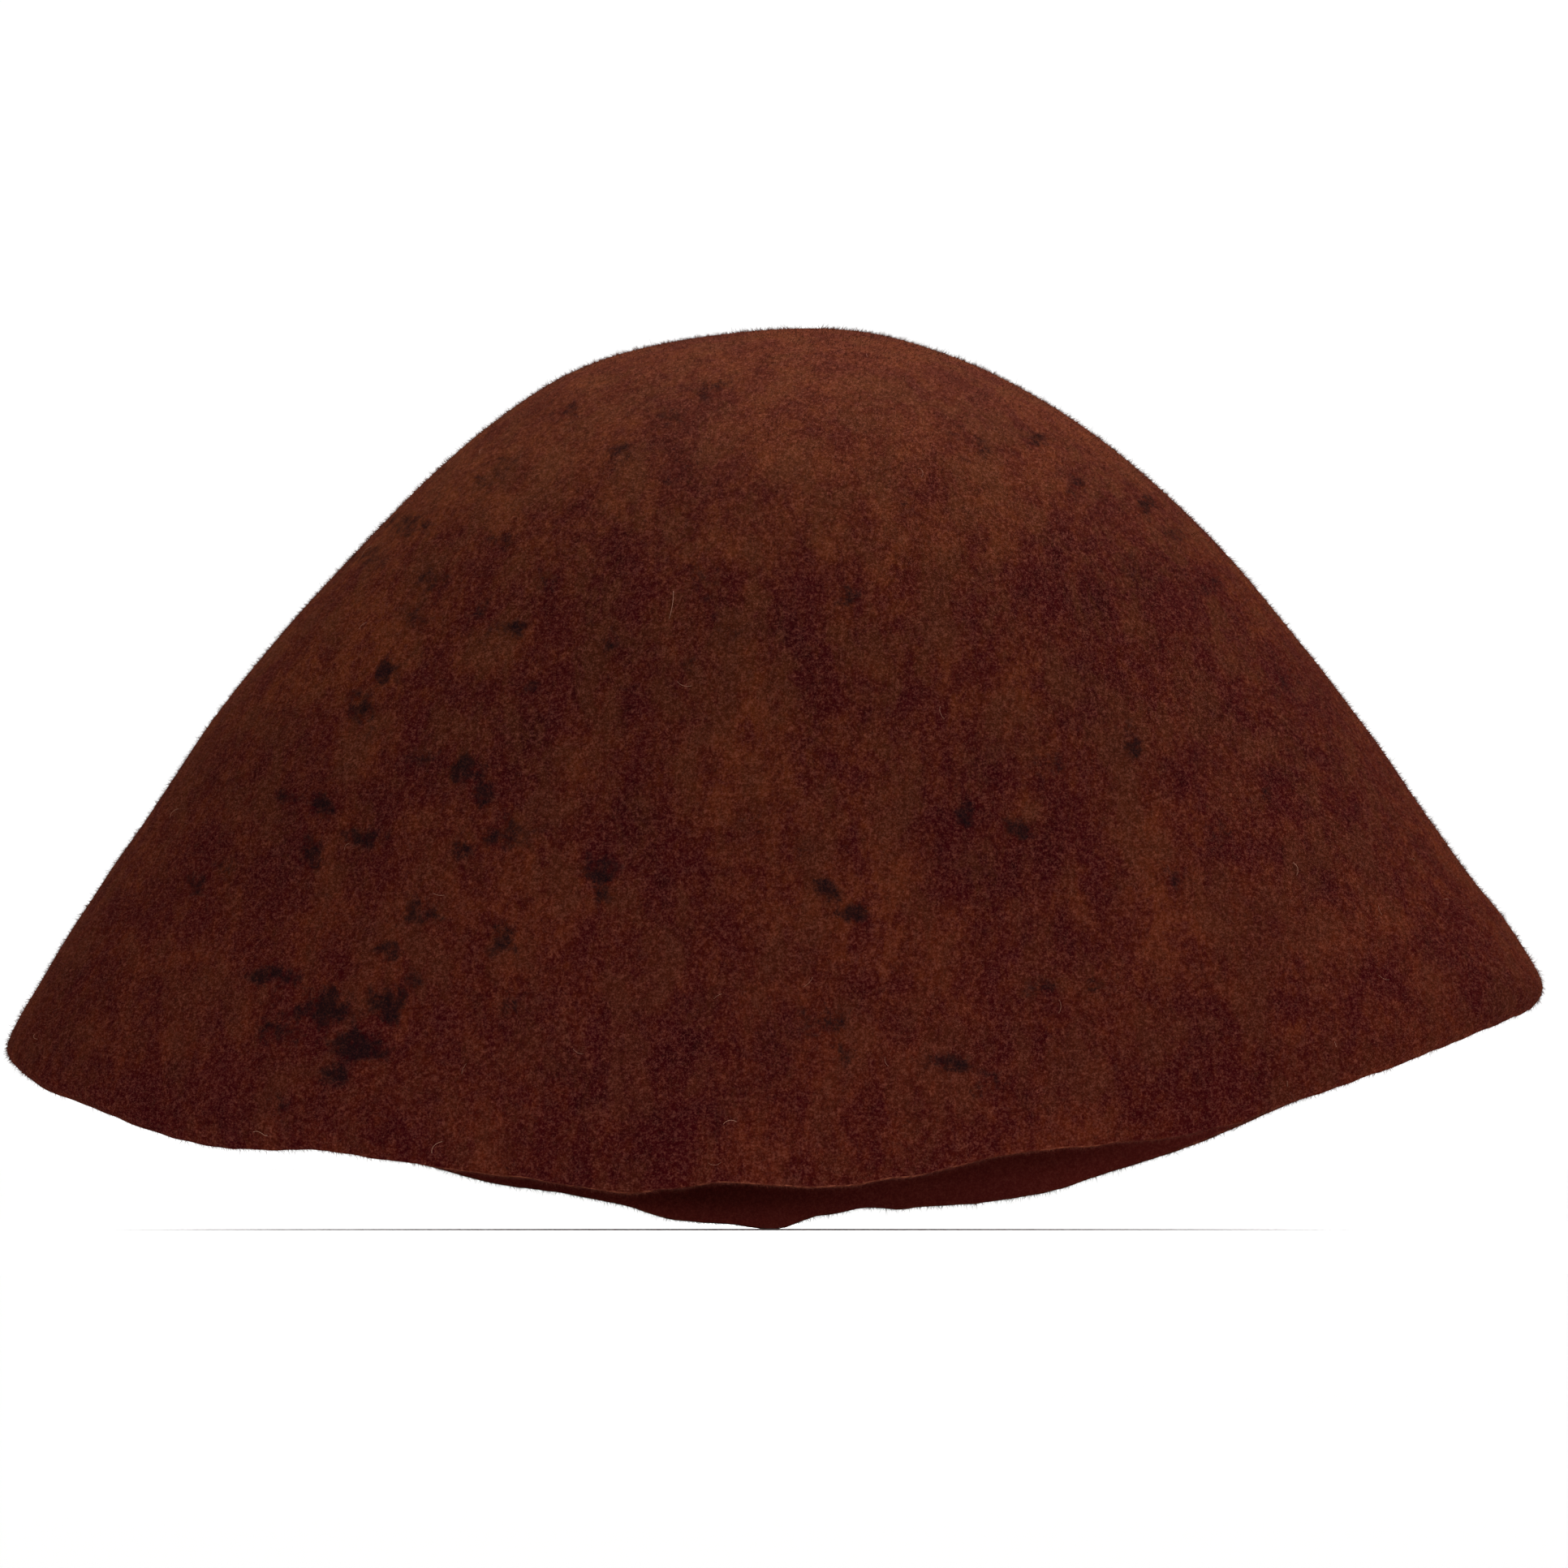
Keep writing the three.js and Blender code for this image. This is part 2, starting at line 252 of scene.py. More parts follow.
def attribute(piece, name, values):
    """Gives a piece a number at each of its points, for its material to read."""
    layer = piece.data.attributes.new(name, "FLOAT", "POINT")
    layer.data.foreach_set("value", np.asarray(values, np.float32).ravel())


def finish(piece, material, node):
    """Gives a piece its material and its material slot, and puts it in the place of a CAD node."""
    piece.data.materials.append(material)
    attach(piece, "root")
    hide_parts(node)


# ---- Node materials ----


def srgb(red, green, blue):
    """A colour given as it is seen, 0 to 255, as a shader takes it."""
    linear = [((v / 255 + 0.055) / 1.055) ** 2.4 if v > 10 else v / 255 / 12.92 for v in (red, green, blue)]
    return (*linear, 1.0)


class Nodes:
    """A short way to write a material's node tree."""

    def __init__(self, name):
        self.material = bpy.data.materials.new(name)
        self.material.use_nodes = True
        self.tree = self.material.node_tree
        self.shader = self.tree.nodes["Principled BSDF"]
        self.place = self.make("ShaderNodeTexCoord").outputs["Object"]

    def make(self, kind, **settings):
        node = self.tree.nodes.new(kind)
        for key, value in settings.items():
            setattr(node, key, value)
        return node

    def put(self, socket, value):
        if isinstance(value, bpy.types.NodeSocket):
            self.tree.links.new(value, socket)
        else:
            socket.default_value = value

    def stretched(self, x=1.0, y=1.0, z=1.0):
        """Places scaled along the axes, which stretches a pattern where the scale is small."""
        node = self.make("ShaderNodeMapping")
        self.put(node.inputs["Vector"], self.place)
        node.inputs["Scale"].default_value = (x, y, z)
        return node.outputs["Vector"]

    def noise(self, size, detail=2.0, rough=0.5, warp=0.0, at=None):
        """Noise with features of a size in millimetres, from 0 to 1."""
        node = self.make("ShaderNodeTexNoise")
        self.put(node.inputs["Vector"], at or self.place)
        node.inputs["Scale"].default_value = 1000.0 / size
        node.inputs["Detail"].default_value = detail
        node.inputs["Roughness"].default_value = rough
        node.inputs["Distortion"].default_value = warp
        return node.outputs["Fac"]

    def math(self, operation, a, b=0.0, c=0.0):
        node = self.make("ShaderNodeMath", operation=operation)
        for socket, value in zip(node.inputs, (a, b, c)):
            self.put(socket, value)
        return node.outputs[0]

    def spread(self, value, low, high, to_low=0.0, to_high=1.0):
        """A value eased from one range to another."""
        node = self.make("ShaderNodeMapRange", interpolation_type="SMOOTHSTEP")
        names = ("Value", "From Min", "From Max", "To Min", "To Max")
        for name, number in zip(names, (value, low, high, to_low, to_high)):
            self.put(node.inputs[name], number)
        return node.outputs["Result"]

    def mix(self, factor, a, b, blend="MIX"):
        node = self.make("ShaderNodeMix", data_type="RGBA", blend_type=blend)
        self.put(node.inputs["Factor"], factor)
        self.put(node.inputs[6], a)
        self.put(node.inputs[7], b)
        return node.outputs[2]

    def ramp(self, value, *stops):
        node = self.make("ShaderNodeValToRGB")
        self.put(node.inputs["Fac"], value)
        while len(node.color_ramp.elements) < len(stops):
            node.color_ramp.elements.new(0.5)
        for element, (position, colour) in zip(node.color_ramp.elements, stops):
            element.position = position
            element.color = colour
        return node.outputs["Color"]

    def attribute(self, name):
        return self.make("ShaderNodeAttribute", attribute_name=name).outputs["Fac"]

    def bump(self, height, distance, strength=1.0, under=None):
        """Bump of a height from 0 to 1 that stands for a distance in millimetres."""
        node = self.make("ShaderNodeBump")
        node.inputs["Strength"].default_value = strength
        node.inputs["Distance"].default_value = distance * 0.001
        self.put(node.inputs["Height"], height)
        if under is not None:
            self.put(node.inputs["Normal"], under)
        return node.outputs["Normal"]

    def done(
        self, colour, roughness, normal=None, sheen=0.0, sheen_roughness=0.5, sheen_tint=None, specular=0.5
    ):
        """Puts the parts of the look into the shader, and gives the material."""
        self.put(self.shader.inputs["Base Color"], colour)
        self.put(self.shader.inputs["Roughness"], roughness)
        self.shader.inputs["Specular IOR Level"].default_value = specular
        self.shader.inputs["Sheen Weight"].default_value = sheen
        self.shader.inputs["Sheen Roughness"].default_value = sheen_roughness
        if sheen_tint:
            self.shader.inputs["Sheen Tint"].default_value = sheen_tint
        if normal is not None:
            self.put(self.shader.inputs["Normal"], normal)
        return self.material


# The felt's colours, from its darkest mottles to its palest fibres; some also carry painted light, as noted
# where they are.
FELT_DEEP = srgb(25, 3, 4)
FELT_DARK = srgb(33, 5, 5)
FELT_BODY = srgb(40, 10, 5)
FELT_LIGHT = srgb(54, 21, 8)
FELT_OLIVE = srgb(43, 18, 8)
FELT_MAROON = srgb(32, 3, 5)
# The next three stand partly for the light from above: the crown's paler tan is partly painted light, and the
# redder, darker edge partly painted shade.
FELT_CROWN_PALE_AND_LIT = srgb(80, 43, 28)
LOW_TINT_AND_SHADE = (1.03, 0.72, 0.86, 1)  # multiplies the colour at the edge
HIGH_TINT_AND_LIGHT = (0.98, 1.12, 1.0, 1)  # and at the crown's top
# painted light: the inner face's colour is much paler than the outer felt's, to stand for light that the
# shaded inside of the hat doesn't get
FELT_INSIDE_PAINTED_LIGHT = srgb(98, 34, 29)
FELT_STAIN = srgb(10, 5, 6)
# paler fibre ends, also used to paint glints and sheen on the nap
FELT_FIBRE_AND_SHEEN = srgb(104, 61, 50)
# painted highlight: the pale line where the raw cut edge catches light
FELT_CUT_HIGHLIGHT = srgb(92, 48, 34)
FELT_SHEEN = srgb(225, 130, 88)


def felt_material(name, cut=False, paling_and_sheen=0.0):
    """Rust-brown felt: soft patches, streaks down the hat, fine mottles, stains and a short nap."""
    n = Nodes(name)
    streaked = n.stretched(z=0.72)
    broad = n.noise(60, 6, 0.62, 0.3)
    middle = n.noise(14, 8, 0.72, 0.15, at=streaked)
    small = n.noise(4.2, 6, 0.74, at=streaked)
    grain = n.noise(1.3, 4, 0.8)
    nap = n.noise(0.55, 2, 0.8)
    tone = n.math("MULTIPLY", broad, 0.26)
    tone = n.math("MULTIPLY_ADD", middle, 0.38, tone)
    tone = n.math("MULTIPLY_ADD", small, 0.26, tone)
    tone = n.math("MULTIPLY_ADD", grain, 0.10, tone)
    tone = n.math("MULTIPLY_ADD", n.attribute("tone"), 0.05, tone)
    colour = n.ramp(
        tone,
        (0.40, FELT_DEEP),
        (0.46, FELT_DARK),
        (0.51, FELT_BODY),
        (0.585, FELT_LIGHT),
    )
    # warm olive and maroon casts drift over the felt
    hue = n.noise(13, 8, 0.74, 0.3, at=n.stretched(z=0.55))
    colour = n.mix(n.spread(hue, 0.48, 0.60, 0, 0.65), colour, FELT_OLIVE)
    height = n.attribute("height_share")
    maroon = n.math("MULTIPLY", n.spread(hue, 0.38, 0.49, 0.65, 0), n.spread(height, 0.6, 0.9, 1.0, 0.4))
    colour = n.mix(maroon, colour, FELT_MAROON)
    # the felt is painted redder and darker low down and paler and tan towards the crown: partly its own
    # colour, partly painted shade below and painted light from above
    colour = n.mix(1.0, colour, n.mix(height, LOW_TINT_AND_SHADE, HIGH_TINT_AND_LIGHT), "MULTIPLY")
    crown_pale_and_lit = n.math("MULTIPLY_ADD", middle, 0.35, n.math("ADD", height, -0.17))
    colour = n.mix(n.spread(crown_pale_and_lit, 0.68, 1.05, 0, 0.2), colour, FELT_CROWN_PALE_AND_LIT)
    # the inner face is mixed towards that much paler colour: painted light in the hat's shaded inside
    colour = n.mix(n.math("MULTIPLY", n.attribute("inside"), 0.65), colour, FELT_INSIDE_PAINTED_LIGHT)
    if cut:
        # pale patches along the raw edge, as a painted highlight where the cut edge catches light
        shown = n.spread(n.noise(34, 3, 0.6), 0.42, 0.58, 0.1, 1.0)
        shown = n.math("MULTIPLY", shown, n.spread(n.noise(2.5, 3, 0.6), 0.4, 0.7, 0.15, 0.8))
        colour = n.mix(shown, colour, FELT_CUT_HIGHLIGHT)
    # the nap: fine light and dark grain, the same in the colour and in the relief: partly paler fibre ends,
    # partly painted glints on the raised fibres and painted shade in the hollows between them
    nap_height = n.math("MULTIPLY_ADD", nap, 0.5, n.math("MULTIPLY", grain, 0.5))
    nap_shade_and_glint = n.spread(nap_height, 0.36, 0.66, 0.77, 1.21)
    colour = n.mix(1.0, colour, nap_shade_and_glint, "MULTIPLY")
    colour = n.mix(n.spread(nap_height, 0.45, 0.70, 0, 0.29), colour, FELT_FIBRE_AND_SHEEN)
    # paler fibres: partly their own colour, partly painted sheen where the nap is seen edge-on at the outline
    if paling_and_sheen:
        colour = n.mix(paling_and_sheen, colour, FELT_FIBRE_AND_SHEEN)
    # stains: clusters of small soft flecks where the painted amount is high, and a few strays anywhere
    fleck = n.math("MULTIPLY_ADD", n.noise(4.4, 7, 0.8, 0.2), 0.80, n.math("MULTIPLY", grain, 0.20))
    stain = n.math("MULTIPLY_ADD", n.attribute("stain"), 0.28, fleck)
    stain = n.math("MULTIPLY_ADD", n.noise(30, 2, 0.5), 0.10, stain)
    stain = n.math("MULTIPLY", n.spread(stain, 0.625, 0.81), n.spread(nap_height, 0.40, 0.62, 0.95, 0.68))
    colour = n.mix(stain, colour, FELT_STAIN)
    normal = n.bump(small, 0.4, 0.5)
    normal = n.bump(nap_height, 0.3, 0.9, under=normal)
    return n.done(
        colour, 0.95, normal, sheen=0.03, sheen_roughness=0.35, sheen_tint=FELT_SHEEN, specular=0.0
    )


# ---- The hood ----

COLUMNS = 460
OUTER_ROWS = 140
INNER_ROWS = 46
EDGE_ROWS = 4

# Dark stains on the front: (x, z, half width, half height) in millimetres, and strength.
STAINS = [
    (-105, 152, 4, 5, 1.0), (-112, 143, 4, 7, 1.0), (-84, 125, 4.5, 5, 1.0), (-79, 120, 4, 8, 0.9),
    (-96, 129, 9, 3, 0.6), (-71, 107, 8, 6, 0.7), (-84, 104, 4, 5, 0.6), (-123, 116, 5, 4, 0.9),
    (-132, 118, 7, 3, 0.6), (-126, 104, 4, 6, 0.8), (-112, 107, 10, 3, 0.85), (-157, 93, 4, 4, 0.9),
    (-150, 99, 4, 3, 0.7), (-47, 97, 6, 5, 1.0), (-46, 92, 4, 4, 0.8), (-96, 86, 6, 5, 0.6),
    (-73, 78, 5, 5, 0.8), (-104, 76, 5, 3, 0.9), (-137, 69, 8, 3.5, 0.9), (-97, 68, 5, 3, 0.7),
    (-121, 60, 12, 6, 0.9), (-105, 62, 7, 6, 1.0), (-113, 50, 9, 6, 1.0), (-133, 54, 8, 5, 0.6),
    (-120, 42, 5, 4, 0.9), (-136, 34, 7, 4, 0.5), (-71, 62, 4, 4, 0.5), (-3, 110, 4, 5, 0.6),
    (14, 93, 5, 4, 0.9), (22, 86, 6, 2.5, 0.9), (8, 104, 3, 8, 0.5), (52, 113, 3, 5, 0.9),
    (67, 109, 4.5, 4, 1.0), (98, 131, 3, 3.5, 0.8), (96, 137, 2.5, 4, 0.6), (76, 127, 5, 4, 0.4),
    (134, 118, 5, 4, 0.5), (122, 108, 6, 4, 0.5), (109, 96, 4, 3, 0.4), (73, 66, 5, 3, 0.7),
    (88, 66, 5, 3, 0.6), (14, 57, 9, 5, 0.7), (18, 48, 5, 4, 0.6), (48, 45, 10, 5, 0.7),
    (60, 40, 8, 5, 0.5), (-18, 229, 8, 3.5, 0.6), (-30, 221, 6, 6, 0.45), (-43, 212, 7, 5, 0.45),
    (-26, 208, 10, 6, 0.4), (-57, 224, 4, 4, 0.5), (-74, 209, 7, 4, 0.55), (-80, 204, 5, 5, 0.5),
    (-101, 193, 8, 4, 0.7), (-112, 184, 8, 4, 0.6), (-93, 177, 7, 6, 0.6), (-98, 168, 5, 6, 0.5),
    (-75, 188, 5, 3, 0.6), (-62, 177, 3.5, 4, 0.7), (-81, 170, 4, 6, 0.5), (-72, 164, 6, 3.5, 0.8),
    (-45, 158, 3, 9, 0.6), (-38, 146, 4, 4, 0.5), (-66, 147, 4, 3, 0.7), (-23, 153, 4, 3.5, 0.6),
    (-19, 176, 6, 7, 0.45), (-12, 163, 6, 6, 0.5), (20, 171, 4, 6, 0.45), (54, 214, 9, 6, 0.5),
    (72, 216, 5, 3, 0.7), (83, 204, 3, 6, 0.6), (102, 198, 3, 4, 0.8), (110, 189, 5, 4, 0.5),
    (98, 182, 4, 5, 0.5), (120, 176, 4, 4, 0.5), (36, 196, 5, 5, 0.35), (141, 148, 5, 6, 0.4),
]


def hood_bend(share, angle):
    """How far the felt stands in from its smooth shape: less round the head, more at the edge."""
    smooth = skin(share, angle)
    amount = 0.3 + 1.3 * smoothstep(share, 0.45, 0.75)
    return amount * (wobble(smooth, 60, 3.1) + 0.35 * wobble(smooth, 21, 8.7))


def edge_ruffle(angle):
    """The raw edge's fine wander, in millimetres down the hat."""
    ring = np.stack([np.cos(angle) * 140, np.sin(angle) * 140, np.zeros_like(angle)], -1)
    return 0.9 * wobble(ring, 17, 1.0) + 0.5 * wobble(ring, 6, 5.0) + 0.22 * wobble(ring, 2.6, 9.0)


def stain_amount(points):
    """How stained the felt is at points: the listed places in front, and half of them, moved, behind."""
    x, y, z = points[:, 0], points[:, 1], points[:, 2]
    ragged = 0.45 * wobble(points, 5, 2.0) + 0.25 * wobble(points, 2, 4.0)
    amount = np.zeros(len(points))
    behind = [(-x0 * 0.9 + 11, z0 * 0.93 + 9, w, h, s) for x0, z0, w, h, s in STAINS[::2]]
    for facing, places in ((y < 0, STAINS), (y >= 0, behind)):
        for x0, z0, half_width, half_height, strength in places:
            reach = np.hypot((x - x0) / half_width, (z - z0) / half_height) + ragged
            amount = np.maximum(amount, np.where(facing, strength * (1 - smoothstep(reach, 0.1, 1.6)), 0))
    return amount


def felt_hood():
    """The hood's outer face, its raw cut edge and its inner face, as one closed shell."""
    angles = np.arange(COLUMNS) * TURN / COLUMNS
    outer = np.linspace(0.004, 1, OUTER_ROWS)[:, None] ** 0.97
    inner = np.linspace(1, 0.01, INNER_ROWS)[:, None]
    bend_outer = hood_bend(*np.broadcast_arrays(outer, angles))
    bend_inner = hood_bend(*np.broadcast_arrays(inner, angles))
    ruffle = edge_ruffle(angles)

    def sheet(share, depth):
        downhill, _, inward = skin_frame(share, angles[None, :])
        drop = ruffle * smoothstep(share, RUFFLE_START, 1)
        return skin(share, angles[None, :]) + inward * depth[..., None] + downhill * drop[..., None]

    through = np.linspace(0, 1, EDGE_ROWS + 2)[1:-1, None]
    bulge = 0.45 * np.sin(math.pi * through) ** 0.6
    edge = sheet(np.ones((EDGE_ROWS, 1)), bend_outer[-1] + FELT * through)
    edge += skin_frame(1.0, angles)[0] * bulge[..., None]
    edge += 0.16 * wobble(edge, 1.3, 6.0)[..., None] * skin_frame(1.0, angles)[0]
    rings = np.vstack([sheet(outer, bend_outer), edge, sheet(inner, bend_inner + FELT)])
    crown = skin(0.0, 0.0) + [0, 0, -float(bend_outer[0].mean())]
    poles = [crown, crown - [0, 0, FELT]]
    piece = dome("felt_body", rings, poles)
    points = np.vstack([rings.reshape(-1, 3), poles])
    for name, values in felt_marks(points).items():
        attribute(piece, name, values)
    inside = np.zeros(len(points))
    inside[(OUTER_ROWS + EDGE_ROWS) * COLUMNS:-2] = 1
    attribute(piece, "inside", inside)
    finish(piece, felt_material("felt"), "felt_hood")
    piece.data.materials.append(felt_material("felt_cut_edge", cut=True))
    slots = np.zeros(len(piece.data.polygons), np.int32)
    slots[(OUTER_ROWS - 1) * COLUMNS : (OUTER_ROWS + EDGE_ROWS) * COLUMNS] = 1
    piece.data.polygons.foreach_set("material_index", slots)


# Lighter and darker areas of the front: (x, z, half width, half height) in millimetres, and tone.
TONES = [
    (-90, 140, 34, 16, -0.8), (-35, 103, 20, 28, -0.7), (88, 168, 30, 12, -0.5), (-80, 50, 55, 18, -0.7),
    (110, 42, 45, 14, -0.4), (0, 137, 22, 30, 0.6), (35, 80, 24, 24, 0.6), (0, 26, 28, 10, 0.5),
    (-157, 72, 28, 18, 0.5), (144, 81, 38, 26, 0.6), (60, 195, 30, 20, 0.4), (-60, 200, 30, 20, 0.4),
    (-28, 221, 17, 13, -0.8), (-35, 30, 40, 9, -0.4), (150, 130, 18, 24, 0.3), (-150, 130, 18, 18, -0.2),
]


def tone_amount(points):
    """How much lighter or darker than the rest the felt is at points, from -1 to 1."""
    x, y, z = points[:, 0], points[:, 1], points[:, 2]
    drift = 0.3 * wobble(points, 14, 7.0)
    amount = np.zeros(len(points))
    for x0, z0, half_width, half_height, tone in TONES:
        side = np.where(y < 0, 1.0, -1.0)
        reach = np.hypot((x * side - x0) / half_width, (z - z0) / half_height) + drift
        amount += tone * (1 - smoothstep(reach, 0.2, 1.25))
    return np.clip(amount, -1, 1)


def felt_marks(points):
    """The amounts of stain and tone at points of the felt, and their share of the hat's height, on which the
    paler crown is painted.
    """
    return {
        "stain": stain_amount(points),
        "tone": tone_amount(points),
        "height_share": np.clip((points[:, 2] + 6 * wobble(points, 30, 2.0)) / HOOD_HEIGHT, 0, 1),
    }


# ---- Nap and loose fibres ----

NAP_COUNT = 48000  # fibres in each piece of nap
# the paler fibres also paint the light sheen of the nap at the hat's outline
NAP_PALE_AND_SHEEN = (0.06, 0.12, 0.18, 0.26)  # how pale each piece's fibres are
NAP_LENGTHS = (0.6, 1.5)  # a few stand out further, by up to NAP_EXTRA
NAP_EXTRA = 1.2
NAP_DEPTH = 0.12  # of the roots below the felt's face
FRINGE_COUNT = 16000
FRINGE_PALE = 0.2
FRINGE_LENGTHS = (0.4, 1.2)
FRINGE_EXTRA = 1.3
LOWEST_TIP = 0.05
FIBRE_RADIUS = 0.07
LINT_RADIUS = 0.06

# Pale fibres caught on the front: (x, z, length, direction in degrees from +X towards up, turn in degrees).
LINT = [
    (-28, 166.5, 8, 84, 25), (-141, 27, 8, 15, -150), (-93, 21, 5, 75, -60), (142, 97, 4, 40, 80),
    (-10, 30, 4, 150, 90),
]


def spikes(name, roots, ways, lengths):
    """Short closed spikes: at each root a thin three-sided point that leans its own way."""
    askew = [0.31, 0.17, 0.93]  # a direction that no fibre lies along
    side = unit(np.cross(ways, askew))
    other = np.cross(ways, side)
    corners = [
        roots + FIBRE_RADIUS * (math.cos(turned) * side + math.sin(turned) * other)
        for turned in (0, TURN / 3, 2 * TURN / 3)
    ]
    tips = roots + ways * lengths[:, None]
    tips[:, 2] = np.maximum(tips[:, 2], LOWEST_TIP)
    points = np.stack(corners + [tips], 1).reshape(-1, 3)
    first = 4 * np.arange(len(roots))[:, None]
    faces = np.concatenate([first + corner for corner in ([0, 1, 3], [1, 2, 3], [2, 0, 3], [2, 1, 0])])
    return mesh_object(name, points, faces.tolist(), smooth=False, turn=False)


def felt_places(rng, count):
    """Shares and angles of places spread evenly over the felt's outer face."""
    step = 0.003
    drawn = 3 * count
    share = rng.uniform(0.012, 0.996, drawn)
    angle = rng.uniform(0, TURN, drawn)
    across = skin(share, angle + step) - skin(share, angle - step)
    down = skin(share + step, angle) - skin(share - step, angle)
    weight = np.linalg.norm(np.cross(across, down), axis=-1)
    kept = rng.choice(drawn, count, replace=False, p=weight / weight.sum())
    return share[kept], angle[kept]


def fibres(name, share, angle, depth, drop, ways, lengths, paling_and_sheen):
    """Fibres rooted at places of the felt, each with the stain, tone and height share of the felt there."""
    downhill, _, inward = skin_frame(share, angle)
    roots = skin(share, angle) + inward * (hood_bend(share, angle) + depth)[:, None]
    roots += downhill * drop[:, None]
    piece = spikes(name, roots, unit(ways), lengths)
    for mark, values in felt_marks(roots).items():
        attribute(piece, mark, np.repeat(values, 4))
    finish(piece, felt_material(name, paling_and_sheen=paling_and_sheen), "felt_hood")


def nap():
    """The short raised fibres that give the felt its soft outline, leaning up and down the hat."""
    rng = np.random.default_rng(11)
    for number, paling_and_sheen in enumerate(NAP_PALE_AND_SHEEN, 1):
        share, angle = felt_places(rng, NAP_COUNT)
        downhill, around, inward = skin_frame(share, angle)
        lengths = rng.uniform(*NAP_LENGTHS, NAP_COUNT) + NAP_EXTRA * rng.uniform(0, 1, NAP_COUNT) ** 6
        ways = (
            -inward * rng.uniform(0.35, 1.3, NAP_COUNT)[:, None]
            + downhill * rng.normal(0.45, 0.6, NAP_COUNT)[:, None]
            + around * rng.normal(0, 0.6, NAP_COUNT)[:, None]
        )
        drop = edge_ruffle(angle) * smoothstep(share, RUFFLE_START, 1)
        fibres(f"felt_nap_{number}", share, angle, NAP_DEPTH, drop, ways, lengths, paling_and_sheen)


def fringe():
    """Fibres that stick out of the raw cut edge."""
    rng = np.random.default_rng(12)
    angle = rng.uniform(0, TURN, FRINGE_COUNT)
    share = np.full(FRINGE_COUNT, 1.0)
    downhill, around, inward = skin_frame(share, angle)
    depth = rng.uniform(0.1, 0.95, FRINGE_COUNT) * FELT
    lengths = rng.uniform(*FRINGE_LENGTHS, FRINGE_COUNT)
    lengths += FRINGE_EXTRA * rng.uniform(0, 1, FRINGE_COUNT) ** 5
    ways = (
        downhill * rng.uniform(0.5, 1.2, FRINGE_COUNT)[:, None]
        + inward * rng.normal(0, 0.5, FRINGE_COUNT)[:, None]
        + around * rng.normal(0, 0.5, FRINGE_COUNT)[:, None]
    )
    fibres("felt_fringe", share, angle, depth, edge_ruffle(angle) + 0.1, ways, lengths, FRINGE_PALE)


def front_place(x, z):
    """Share and angle of the place on the front that is nearest to an x and a height."""
    share = np.linspace(0.02, 0.99, 240)[:, None]
    angle = np.linspace(math.pi + 0.02, TURN - 0.02, 480)[None, :]
    grid = skin(share, angle)
    found = np.argmin((grid[..., 0] - x) ** 2 + (grid[..., 2] - z) ** 2)
    row, column = np.unravel_index(found, grid.shape[:2])
    return float(share[row, 0]), float(angle[0, column])


def fibre_path(share, angle, length, direction, turned):
    """A curved path of a given length that lies on the felt and lifts a little in its middle."""
    steps = 16
    path = []
    for i in range(steps + 1):
        heading = math.radians(direction + turned * i / steps)
        lift = 0.12 + 0.45 * math.sin(math.pi * i / steps)
        bend = float(hood_bend(np.array(share), np.array(angle)))
        path.append(below(share * SLANT, np.array(angle), bend - lift))
        reach = np.linalg.norm(skin(share, angle + 0.01) - skin(share, angle - 0.01)) / 0.02
        share = min(max(share - math.sin(heading) * length / steps / SLANT, 0.01), 0.985)
        angle += math.cos(heading) * length / steps / reach
    return np.array(path)


def lint():
    """Pale loose fibres caught in the nap: the ones seen in front, and fainter short ones all over."""
    rng = np.random.default_rng(13)
    fibres = []
    for x, z, length, direction, turned in LINT:
        path = fibre_path(*front_place(x, z), length, direction, turned)
        fibres.append(tube_rings(path, LINT_RADIUS, sides=5))
    for place in zip(*felt_places(rng, 60)):
        length = rng.uniform(1.5, 4.5)
        direction = rng.uniform(0, 360)
        turned = rng.uniform(-120, 120)
        path = fibre_path(*place, length, direction, turned)
        fibres.append(tube_rings(path, 0.5 * LINT_RADIUS, sides=5))
    points, faces = [], []
    for rings in fibres:
        faces += ring_faces(*rings.shape[:2], False, len(points))
        points += rings.reshape(-1, 3).tolist()
    piece = mesh_object("felt_lint", points, faces)
    finish(piece, lint_material(), "felt_hood")


def lint_material():
    """Pale wool fibre."""
    n = Nodes("lint")
    colour = n.mix(n.noise(6, 3, 0.6), srgb(70, 40, 30), srgb(128, 92, 76))
    return n.done(colour, 0.8, sheen=0.1, sheen_tint=srgb(220, 190, 170), specular=0.1)


# ---- The fittings inside the crown ----

TIP = 38
PIPING_RADIUS = 1.2
LINING_DEPTH = 4.0
LINING = 0.4
LINING_END = 108
TAPE = 0.4
TAPE_START = 108.3
TAPE_END = 123.5
TAG_DEPTH = 4.7
TAG = 0.3
TAG_ANGLE = 0.9
LEATHER_DEPTH = 5.3
LEATHER = 0.9
LEATHER_FACE = LEATHER_DEPTH + LEATHER
LEATHER_TOP = HEAD_LINE - LEATHER_WIDTH
HEAD_RADIUS = 92
BACK_GAP = 1.4
REED_RADIUS = 1.0
REED_GAP = 7.4
THREAD_RADIUS = 0.3
THREAD_START = 0.05  # radians from the back at which the threads round the band begin
ZIGZAGS = 110
ZIGZAG_REACH = 2
ZIGZAG_LINE = HEAD_LINE - 5
TACK_LINE = TAPE_END - 1.6
LACING_START = LEATHER_TOP + 3
LACING_END = HEAD_LINE - 8
CLEAR = 0.3


